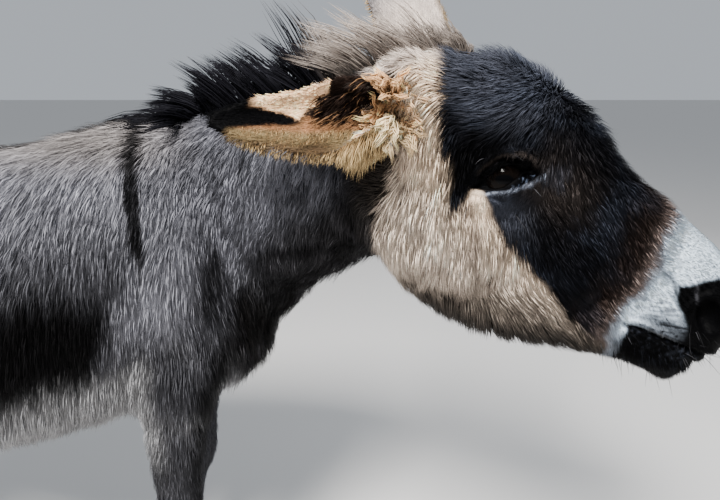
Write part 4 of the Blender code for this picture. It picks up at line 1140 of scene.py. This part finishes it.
# %% Curl the locks at the root of the ears
LOCKS_AT_EAR, HAIRS_IN_LOCK = 190, 13
curls = []
for ear in EAR_SHAPES:
    count, each = LOCKS_AT_EAR, max(4, int(HAIRS_IN_LOCK * SHARE))
    angle, start = rng.uniform(0, 2 * math.pi, count), 0.027 * rng.random(count) ** 0.85
    upward = 1 if ear.side == "right" else -1
    radial = np.cos(angle)[:, None] * ear.along + np.sin(angle)[:, None] * upward * ear.across
    centre = ear.root + start[:, None] * radial + 0.006 * ear.along + 0.002 * upward * ear.across
    centre, out = outermost(centre, ear.face)
    span = rng.uniform(0.016, 0.028, count)
    phase, curl = rng.uniform(0, TURN, count), rng.uniform(0.0020, 0.0052, count)
    toward, above = np.cos(angle), np.sin(angle)
    inner = ramp(-toward, 0.5, 0.9) * ramp(above, -0.5, 0.3)
    tint = blend(every((0.60, 0.37, 0.20), count), (ramp(above, -0.1, 0.6), (0.70, 0.41, 0.21)),
                 (ramp(-above, 0.3, 0.9), (0.66, 0.50, 0.30)), (inner, (0.50, 0.34, 0.21)))
    tint = tint * np.exp(rng.normal(0, 0.25, count))[:, None]
    pick = np.repeat(np.arange(count), each)
    k = len(pick)
    root = centre[pick] + rng.normal(0, 0.0020, (k, 3)) + 0.002 * out[pick]
    aim = unit(0.62 * radial + 0.60 * ear.face + rng.normal(0, 0.30, (count, 3)))
    way = unit(aim[pick] + rng.normal(0, 0.10, (k, 3)))
    bend = (unit(rng.normal(0, 0.5, (count, 3)) + (0, 0, -0.5) - 0.5 * ear.face) * 0.55)[pick]
    tip = gathered(root + span[pick, None] * (way + bend), pick, np.full(k, 0.72))
    bend = (tip - root) / span[pick, None] - way
    tone = np.exp(rng.normal(0, 0.20, k))[:, None] * tint[pick]
    length = span[pick] * rng.uniform(0.85, 1.1, k)
    # the curls are near black at their roots: painted shadow between them
    curls.append(strands(f"ear_locks_{ear.side}", root, way, bend, every(ear.face, k), length,
                         np.full(k, 0.0019), (0.14 * tone, 1.5 * tone), curl[pick], phase[pick]))
print(len(curls), "curly tufts beside the ears")

# %% Let long hair hang from the ears
points, normal = points_of(skin.data), normals_of(skin.data)
for ear in EAR_SHAPES:
    share = ear_share(points, ear.side)
    t, across = ear.places(points)
    across = across * (1 if ear.side == "right" else -1)
    down = -ear.across * (1 if ear.side == "right" else -1)
    here = share > 0.4
    open_side = here & (normal @ ear.face > 0.1)
    lower_rim = here & (across < -0.003) & (t > 0.02) & (t < 0.84) & (normal @ ear.face > -0.5)
    upper_rim = open_side & (across > 0.020) & (t > 0.40) & (t < 0.74)
    hollow = open_side & (across > 0.004) & (across < 0.032) & (t > 0.10) & (t < 0.42)
    kinds = (
        ("fringe", lower_rim, 2100, 0.95 * down + 0.30 * ear.along + 0.28 * ear.face,
         -0.35 * ear.face - np.array([0, 0, 0.15]), EAR_CREAM_IN_SHADE, 2.9),
        ("upper", upper_rim, 360, -0.12 * down + 0.95 * ear.along + 0.14 * ear.face,
         -0.15 * ear.face, ORANGE_AND_SUNLIT, 1.1),
        ("hollow", hollow, 560, 0.85 * ear.along + 0.35 * ear.face + 0.25 * down,
         -0.45 * ear.face + 0.25 * down, HOLLOW_SHADE, 1.0),
    )
    for kind, chosen, count, aim, turn, colour, gain in kinds:
        n = int(count * SHARE)
        pick = rng.choice(np.where(chosen)[0], n)
        root = points[pick] + rng.normal(0, 0.0008, (n, 3))
        usual = {"fringe": 0.008 + 0.018 * np.exp(-((t[pick] - 0.17) / 0.10) ** 2), "upper": 0.006,
                 "hollow": 0.017}[kind]
        span = usual * rng.uniform(0.7, 1.15, n)
        way = unit(aim + rng.normal(0, 0.16, (n, 3)))
        uneven = np.exp(rng.normal(0, 0.30, n) + 0.35 * noise(root, 0.010, 40))
        tone = every(colour, n) * uneven[:, None] * gain
        if kind == "hollow":
            rusty = rng.random(n) < 0.10 + 0.5 * (across[pick] < 0.013)
            tone = blend(tone, (rusty.astype(float), (0.24, 0.13, 0.065)))
        # darker roots: painted shade under the long hair
        base = 0.5 * tone if kind != "fringe" else 0.30 * tone * (0.85, 0.60, 0.45)
        curls.append(strands(f"ear_{kind}_{ear.side}", root, way, every(turn, n), every(ear.face, n), span,
                             np.full(n, 0.0011), (base, 1.2 * tone), 0.0006, rng.uniform(0, TURN, n)))
print(len(curls), "pieces of long hair on the ears")

# %% Finish the tail, the lashes and the whiskers
TAIL_HAIRS, LASHES, CHIN_WHISKERS, BROW_WHISKERS = 1700, 70, 90, 12
low, high = (np.array(corner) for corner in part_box("tail_tuft"))
n = int(SHARE * TAIL_HAIRS)
height = low[2] + (0.42 + 0.72 * rng.random(n)) * (high[2] - low[2])
turn = rng.uniform(0, 2 * math.pi, n)
ring = np.stack([np.cos(turn), np.sin(turn), 0 * turn], axis=1)
wide = (high[:2] - low[:2]).mean() / 2
axis = np.array([*(low + high)[:2] / 2, 0])
root = axis + ring * (0.30 * wide * rng.random(n) ** 0.5)[:, None] + height[:, None] * (0, 0, 1)
length = np.minimum((height - low[2]) * rng.uniform(0.75, 1.02, n), 0.24)
way = unit(ring * 0.16 + (0, 0, -1.0) + rng.normal(0, 0.03, (n, 3)))
tone = every((0.0065, 0.0060, 0.0062), n) * np.exp(rng.normal(0, 0.45, n))[:, None]
tail_hair = strands("tail_hair", root, way, -0.13 * ring, ring, length, np.full(n, 0.0024),
                    (tone, 1.6 * tone), 0.003, rng.uniform(0, TURN, n))

lashes = []
for side, sign in (("left", 1), ("right", -1)):
    n = LASHES
    along = rng.uniform(-0.020, 0.024, n)
    across = np.interp(along, LID_ALONG, UPPER_LID) + 0.0012
    d = np.stack([along * math.cos(EYE_TILT) - across * math.sin(EYE_TILT), np.full(n, 0.020),
                  along * math.sin(EYE_TILT) + across * math.cos(EYE_TILT)], axis=1)
    root, out, place = on_skin(from_head((EYE + d) * (1, sign, 1)))
    down = head_way(math.sin(EYE_TILT), 0, -math.cos(EYE_TILT))
    way = unit(out + 0.55 * down + rng.normal(0, 0.12, (n, 3)))
    tone = every(BLACK, n)
    lashes.append(strands(f"lashes_{side}", root, way, every(-0.30 * down, n), every(AXES[0], n),
                          rng.uniform(0.008, 0.014, n), np.full(n, 0.0007), (tone, tone), 0, 0, place))
h = to_head(points)
chin = (regions(points, normal)["muzzle"] > 0.6) & (h[:, 2] < -0.045) & (rng.random(len(points)) < 0.5)
brow = near_eye(h, 0.055) & (lid_places(h)[2] > 0.012)
pick = np.concatenate([rng.choice(np.where(chin)[0], CHIN_WHISKERS),
                       rng.choice(np.where(brow)[0], BROW_WHISKERS)])
n = len(pick)
way = unit(normal[pick] + 0.45 * AXES[0] + rng.normal(0, 0.18, (n, 3)))
tone = every((0.02, 0.02, 0.022), n) * np.exp(rng.normal(0, 0.7, n))[:, None]
lashes.append(strands("whiskers", points[pick], way, every((0, 0, -0.22), n), every(AXES[1] + 0.01, n),
                      rng.uniform(0.010, 0.030, n), np.full(n, 0.0006), (tone, tone), 0.0004, 0))
hair = [*coat, *curls, *lashes, mane, tail_hair]
print("tail, lashes and whiskers")

# %% Round the hooves
hooves = []
for node in ("hoof_front_left", "hoof_front_right", "hoof_hind_left", "hoof_hind_right"):
    horn = joined_copies([node], node.replace("hoof", "horn"), 0.0)
    step = horn.modifiers.new("rounded", "BEVEL")
    step.width, step.segments = 0.0018, 2
    step.limit_method, step.angle_limit = "ANGLE", math.radians(25)
    apply_modifiers(horn)
    horn.data.shade_smooth()
    hooves.append((horn, node))
print(len(hooves), "hooves")

# %% [markdown]
# ## Camera, floor and light

# %% Place the camera
CAMERA_PLACE, CAMERA_DIP = (0.337, -0.860, 1.082), 16.4      # from the foot of the withers, and degrees
camera = bpy.data.objects.new("camera", bpy.data.cameras.new("camera"))
bpy.context.scene.collection.objects.link(camera)
bpy.context.scene.camera = camera
camera.data.lens = 26
camera.data.sensor_width = 36
camera.data.clip_start = 0.02
camera.location = Vector(WITHERS) + Vector(CAMERA_PLACE)
camera.rotation_euler = (math.radians(90 - CAMERA_DIP), 0, 0)
print("camera at", [round(x, 2) for x in camera.location])


# %% Lay the floor and light it
def plain_material(name, colour, roughness):
    made = bpy.data.materials.new(name)
    made.use_nodes = True
    shader = made.node_tree.nodes["Principled BSDF"]
    shader.inputs["Base Color"].default_value = (*colour, 1)
    shader.inputs["Roughness"].default_value = roughness
    return made


bpy.ops.mesh.primitive_plane_add(size=400, location=(0, 0, 0))
floor = bpy.context.object
floor.name = "floor"
floor.data.materials.append(plain_material("pale_floor", (0.62, 0.61, 0.60), 0.9))

world = bpy.data.worlds.new("studio")
bpy.context.scene.world = world
world.use_nodes = True
sky = world.node_tree.nodes["Background"].inputs
sky["Color"].default_value, sky["Strength"].default_value = (0.86, 0.92, 1.0, 1), 0.55


def lamp(name, place, target, size, power, colour=(1, 1, 1)):
    made = bpy.data.objects.new(name, bpy.data.lights.new(name, "AREA"))
    bpy.context.scene.collection.objects.link(made)
    made.location = Vector(WITHERS) + Vector(place)
    aim = Vector(WITHERS) + Vector(target) - made.location
    made.rotation_euler = aim.to_track_quat("-Z", "Y").to_euler()
    made.data.size = size
    made.data.energy = power
    made.data.color = colour
    return made


lamp("key", (-0.5, -2.0, 3.3), (0.15, 0, 0.85), 1.0, 400, (1, 0.97, 0.93))
lamp("fill", (3.0, 1.2, 2.4), (0.3, 0, 0.8), 2.0, 60, (0.92, 0.96, 1))
print("camera, floor and two lamps")

# %% [markdown]
# ## Finishes
# Each finish takes its colours, masks and bumps from a node group of its own, and the shader stays in the
# material. The groups read object coordinates or the attributes stored on the meshes.

# %% Build the node groups
def node_group(name, inputs, outputs):
    """A new group with these named sockets, and its input and output nodes."""
    made = bpy.data.node_groups.new(name, "ShaderNodeTree")
    for label, kind, value in inputs:
        socket = made.interface.new_socket(name=label, in_out="INPUT", socket_type=f"NodeSocket{kind}")
        socket.default_value = value
    for label, kind in outputs:
        made.interface.new_socket(name=label, in_out="OUTPUT", socket_type=f"NodeSocket{kind}")
    return made, made.nodes.new("NodeGroupInput").outputs, made.nodes.new("NodeGroupOutput").inputs


def add(tree, kind, inputs, **settings):
    """A node with these settings, whose named or numbered inputs take values or other nodes' sockets."""
    node = tree.nodes.new(kind)
    for key, value in settings.items():
        setattr(node, key, value)
    for key, value in inputs.items():
        if isinstance(value, bpy.types.NodeSocket):
            tree.links.new(value, node.inputs[key])
        else:
            node.inputs[key].default_value = value
    return node


def hair_colour_group():
    """The stored marking, mottled by the lock and by the hair."""
    tree, given, result = node_group(
        "hair_colour",
        [("Marking", "Color", (0.2, 0.2, 0.2, 1)), ("Mottle", "Float", 0.10), ("Grain", "Float", 0.25)],
        [("Colour", "Color"), ("Roughness", "Float")])
    place = add(tree, "ShaderNodeTexCoord", {}).outputs["Object"]
    broad = add(tree, "ShaderNodeTexNoise", {"Vector": place, "Scale": 55.0, "Detail": 2.0}).outputs["Fac"]
    fine = add(tree, "ShaderNodeTexNoise", {"Vector": place, "Scale": 900.0, "Detail": 1.0}).outputs["Fac"]
    level = 1.0
    for value, amount in ((broad, given["Mottle"]), (fine, given["Grain"])):
        swing = add(tree, "ShaderNodeMapRange", {"Value": value, "From Min": 0.25, "From Max": 0.75,
                                                 "To Min": -1.0, "To Max": 1.0}).outputs[0]
        level = add(tree, "ShaderNodeMath", {0: swing, 1: amount, 2: level},
                    operation="MULTIPLY_ADD").outputs[0]
    scaled = add(tree, "ShaderNodeVectorMath", {0: given["Marking"], "Scale": level}, operation="SCALE")
    rough = add(tree, "ShaderNodeMapRange", {"Value": broad, "To Min": 0.45, "To Max": 0.62})
    tree.links.new(scaled.outputs[0], result["Colour"])
    tree.links.new(rough.outputs[0], result["Roughness"])
    return tree


def short_fur_group():
    """A bump of short hairs, from a stored flow whose first axis runs across them."""
    tree, given, result = node_group("short_fur", [("Flow", "Vector", (0, 0, 0)), ("Depth", "Float", 0.0006)],
                                     [("Normal", "Vector"), ("Hair", "Float")])
    hairs = add(tree, "ShaderNodeTexNoise", {"Vector": given["Flow"], "Scale": 0.9, "Detail": 3.0,
                                             "Roughness": 0.6}).outputs["Fac"]
    relief = add(tree, "ShaderNodeBump", {"Height": hairs, "Distance": given["Depth"], "Strength": 0.8})
    tree.links.new(relief.outputs["Normal"], result["Normal"])
    tree.links.new(hairs, result["Hair"])
    return tree


def horn_group():
    """Growth rings that follow the coronet, and a paler wear line at the ground."""
    tree, given, result = node_group("horn_rings", [("Dark", "Color", (0.022, 0.019, 0.018, 1)),
                                                    ("Pale", "Color", (0.085, 0.072, 0.060, 1))],
                                     [("Colour", "Color"), ("Normal", "Vector")])
    place = add(tree, "ShaderNodeTexCoord", {}).outputs["Object"]
    height = add(tree, "ShaderNodeSeparateXYZ", {0: place}).outputs["Z"]
    drift = add(tree, "ShaderNodeTexNoise", {"Vector": place, "Scale": 30.0, "Detail": 3.0}).outputs["Fac"]
    moved = add(tree, "ShaderNodeMath", {0: drift, 1: 0.006, 2: height}, operation="MULTIPLY_ADD").outputs[0]
    turns = add(tree, "ShaderNodeMath", {0: moved, 1: 1250.0}, operation="MULTIPLY").outputs[0]
    rings = add(tree, "ShaderNodeMath", {0: turns}, operation="SINE").outputs[0]
    wear = add(tree, "ShaderNodeMapRange", {"Value": height, "From Min": 0.002, "From Max": 0.014,
                                            "To Min": 0.7, "To Max": 0.0})
    share = add(tree, "ShaderNodeMath", {0: rings, 1: 0.16, 2: wear.outputs[0]},
                operation="MULTIPLY_ADD", use_clamp=True)
    mixed = add(tree, "ShaderNodeMix", {"Factor": share.outputs[0]}, data_type="RGBA")
    tree.links.new(given["Dark"], mixed.inputs[6])
    tree.links.new(given["Pale"], mixed.inputs[7])
    ridge = add(tree, "ShaderNodeBump", {"Height": rings, "Distance": 0.0005, "Strength": 0.5})
    tree.links.new(mixed.outputs[2], result["Colour"])
    tree.links.new(ridge.outputs["Normal"], result["Normal"])
    return tree


def eye_group():
    """A long dark pupil, a brown iris and a dull brown white, by the distance from the eye's axis."""
    tree, given, result = node_group(
        "wet_eye",
        [("Middle", "Vector", (0, 0, 0)), ("Along", "Vector", (1, 0, 0)), ("Up", "Vector", (0, 0, 1))],
        [("Colour", "Color"), ("Pupil", "Float")])
    place = add(tree, "ShaderNodeTexCoord", {}).outputs["Object"]
    away = add(tree, "ShaderNodeVectorMath", {0: place, 1: given["Middle"]}, operation="SUBTRACT").outputs[0]
    x, y = (add(tree, "ShaderNodeVectorMath", {0: away, 1: given[axis]},
                operation="DOT_PRODUCT").outputs["Value"] for axis in ("Along", "Up"))
    flat = add(tree, "ShaderNodeMath", {0: x, 1: 0.55}, operation="MULTIPLY").outputs[0]
    oval_of = []
    for across in (flat, x):
        both = add(tree, "ShaderNodeCombineXYZ", {0: across, 1: y}).outputs[0]
        oval_of.append(add(tree, "ShaderNodeVectorMath", {0: both}, operation="LENGTH").outputs["Value"])
    pupil = add(tree, "ShaderNodeMapRange", {"Value": oval_of[0], "From Min": 0.0046, "From Max": 0.0062})
    edge = add(tree, "ShaderNodeMapRange", {"Value": oval_of[1], "From Min": 0.0130, "From Max": 0.0150})
    fibres = add(tree, "ShaderNodeTexNoise", {"Vector": away, "Scale": 420.0, "Detail": 2.0}).outputs["Fac"]
    iris = add(tree, "ShaderNodeMix", {"Factor": fibres}, data_type="RGBA")
    iris.inputs[6].default_value = (0.0010, 0.0007, 0.0006, 1)
    iris.inputs[7].default_value = (0.0030, 0.0018, 0.0012, 1)
    inner = add(tree, "ShaderNodeMix", {"Factor": pupil.outputs[0]}, data_type="RGBA")
    inner.inputs[6].default_value = (0.0006, 0.0006, 0.0008, 1)
    tree.links.new(iris.outputs[2], inner.inputs[7])
    whole = add(tree, "ShaderNodeMix", {"Factor": edge.outputs[0]}, data_type="RGBA")
    tree.links.new(inner.outputs[2], whole.inputs[6])
    whole.inputs[7].default_value = (0.0030, 0.0022, 0.0020, 1)
    tree.links.new(whole.outputs[2], result["Colour"])
    tree.links.new(pupil.outputs[0], result["Pupil"])
    return tree


HAIR_COLOUR, SHORT_FUR, HORN, WET_EYE = (
    make() for make in (hair_colour_group, short_fur_group, horn_group, eye_group))
print("node groups:", ", ".join(group.name for group in (HAIR_COLOUR, SHORT_FUR, HORN, WET_EYE)))


# %% Store the flow of the short hair on the skin
points, normal = points_of(skin.data), normals_of(skin.data)
r = regions(points, normal)


def flow(p, way):
    """Places in millimetres, squeezed along the hair, so that a noise over them looks combed."""
    way = unit(np.asarray(way, float))
    return 1000 * (p - 0.86 * (p @ way)[:, None] * way)


layers = [(r["head"], flow(points, 0.9 * AXES[0] - 0.3 * AXES[2])),
          (r["muzzle"], flow(points, 0.8 * AXES[0] - 0.6 * AXES[2]))]
layers += [(r[f"ear_{ear.side}"], flow(points, ear.along)) for ear in EAR_SHAPES]
layer = skin.data.attributes.new("Flow", "FLOAT_VECTOR", "POINT")
layer.data.foreach_set("vector", blend(flow(points, (-0.14, 0, -0.99)), *layers).astype(np.float32).ravel())
print("the skin has its flow")


# %% Make the materials
def material(name, group, inputs, **settings):
    """A material whose shader takes what it can from the group; settings go on the shader's own sockets."""
    made = bpy.data.materials.new(name)
    made.use_nodes = True
    tree = made.node_tree
    shader = tree.nodes["Principled BSDF"]
    node = add(tree, "ShaderNodeGroup", {}, node_tree=group)
    for label, value in inputs.items():
        if isinstance(value, str):
            source = add(tree, "ShaderNodeAttribute", {}, attribute_name=value).outputs
            kind = "Color" if node.inputs[label].type == "RGBA" else "Vector"
            tree.links.new(source[kind], node.inputs[label])
        else:
            node.inputs[label].default_value = value
    for label, socket in (("Colour", "Base Color"), ("Roughness", "Roughness"), ("Normal", "Normal")):
        if label in node.outputs:
            tree.links.new(node.outputs[label], shader.inputs[socket])
    for label, value in settings.items():
        shader.inputs[label.replace("_", " ")].default_value = value
    return made


fur = material("fur", HAIR_COLOUR, {"Marking": "Marking", "Mottle": 0.10, "Grain": 0.14})
fur.node_tree.nodes["Principled BSDF"].inputs["Specular IOR Level"].default_value = 0.03
skin_finish = material("skin", HAIR_COLOUR, {"Marking": "Marking", "Mottle": 0.12, "Grain": 0.30})
tree = skin_finish.node_tree
tree.nodes["Principled BSDF"].inputs["Specular IOR Level"].default_value = 0.02
short = add(tree, "ShaderNodeGroup", {}, node_tree=SHORT_FUR)
stored = add(tree, "ShaderNodeAttribute", {}, attribute_name="Flow")
tree.links.new(stored.outputs["Vector"], short.inputs["Flow"])
tree.links.new(short.outputs["Normal"], tree.nodes["Principled BSDF"].inputs["Normal"])
horn_finish = material("hoof_horn", HORN, {}, Roughness=0.45)
skin.data.materials.append(skin_finish)
for piece in hair:
    piece.data.materials.append(fur)
print("fur, skin and horn")

# %% Lay the eyeballs in
PUPIL_TILT = EYE_TILT * 0.7      # the pupil lies flatter than the opening
balls = []
for side, sign in (("left", 1), ("right", -1)):
    place = from_head(EYE * [1, sign, 1])
    bpy.ops.mesh.primitive_uv_sphere_add(segments=48, ring_count=32, radius=EYE_RADIUS)
    ball = bpy.context.object
    ball.name = f"eyeball_{side}"
    ball.data.transform(Matrix.Translation(Vector(place)))
    ball.data.shade_smooth()
    along = head_way(math.cos(PUPIL_TILT), 0, math.sin(PUPIL_TILT))
    across = head_way(-math.sin(PUPIL_TILT), 0, math.cos(PUPIL_TILT))
    places = {"Middle": place, "Along": along, "Up": across}
    wet = material(f"wet_eye_{side}", WET_EYE, places, Roughness=0.10)
    wet.node_tree.nodes["Principled BSDF"].inputs["Specular IOR Level"].default_value = 0.055
    ball.data.materials.append(wet)
    balls.append((ball, f"eye_{side}"))
print(len(balls), "eyeballs")

# %% [markdown]
# ## Pieces of the frame
# Every piece rides on the root, and the parts that it replaces are hidden.

# %% Hang each piece on the root and hide the parts that it replaces
pieces = [(skin, "coat", FLESH), (mane, "dark_hair", ["mane"]), (tail_hair, "dark_hair", ["tail_tuft"])]
pieces += [(piece, "coat", []) for piece in (*coat, *curls)]
pieces += [(piece, "dark_hair", []) for piece in lashes]
pieces += [(horn, "hoof_horn", [node]) for horn, node in hooves]
pieces += [(ball, "wet_eye", [node]) for ball, node in balls]
for piece, slot, replaced in pieces:
    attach(piece, "root")
    if replaced:
        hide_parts(*replaced)
for horn, _ in hooves:
    horn.data.materials.clear()
    horn.data.materials.append(horn_finish)
print(sum(len(piece.data.polygons) for piece in hair), "triangles of hair and", len(skin.data.polygons),
      "of skin")
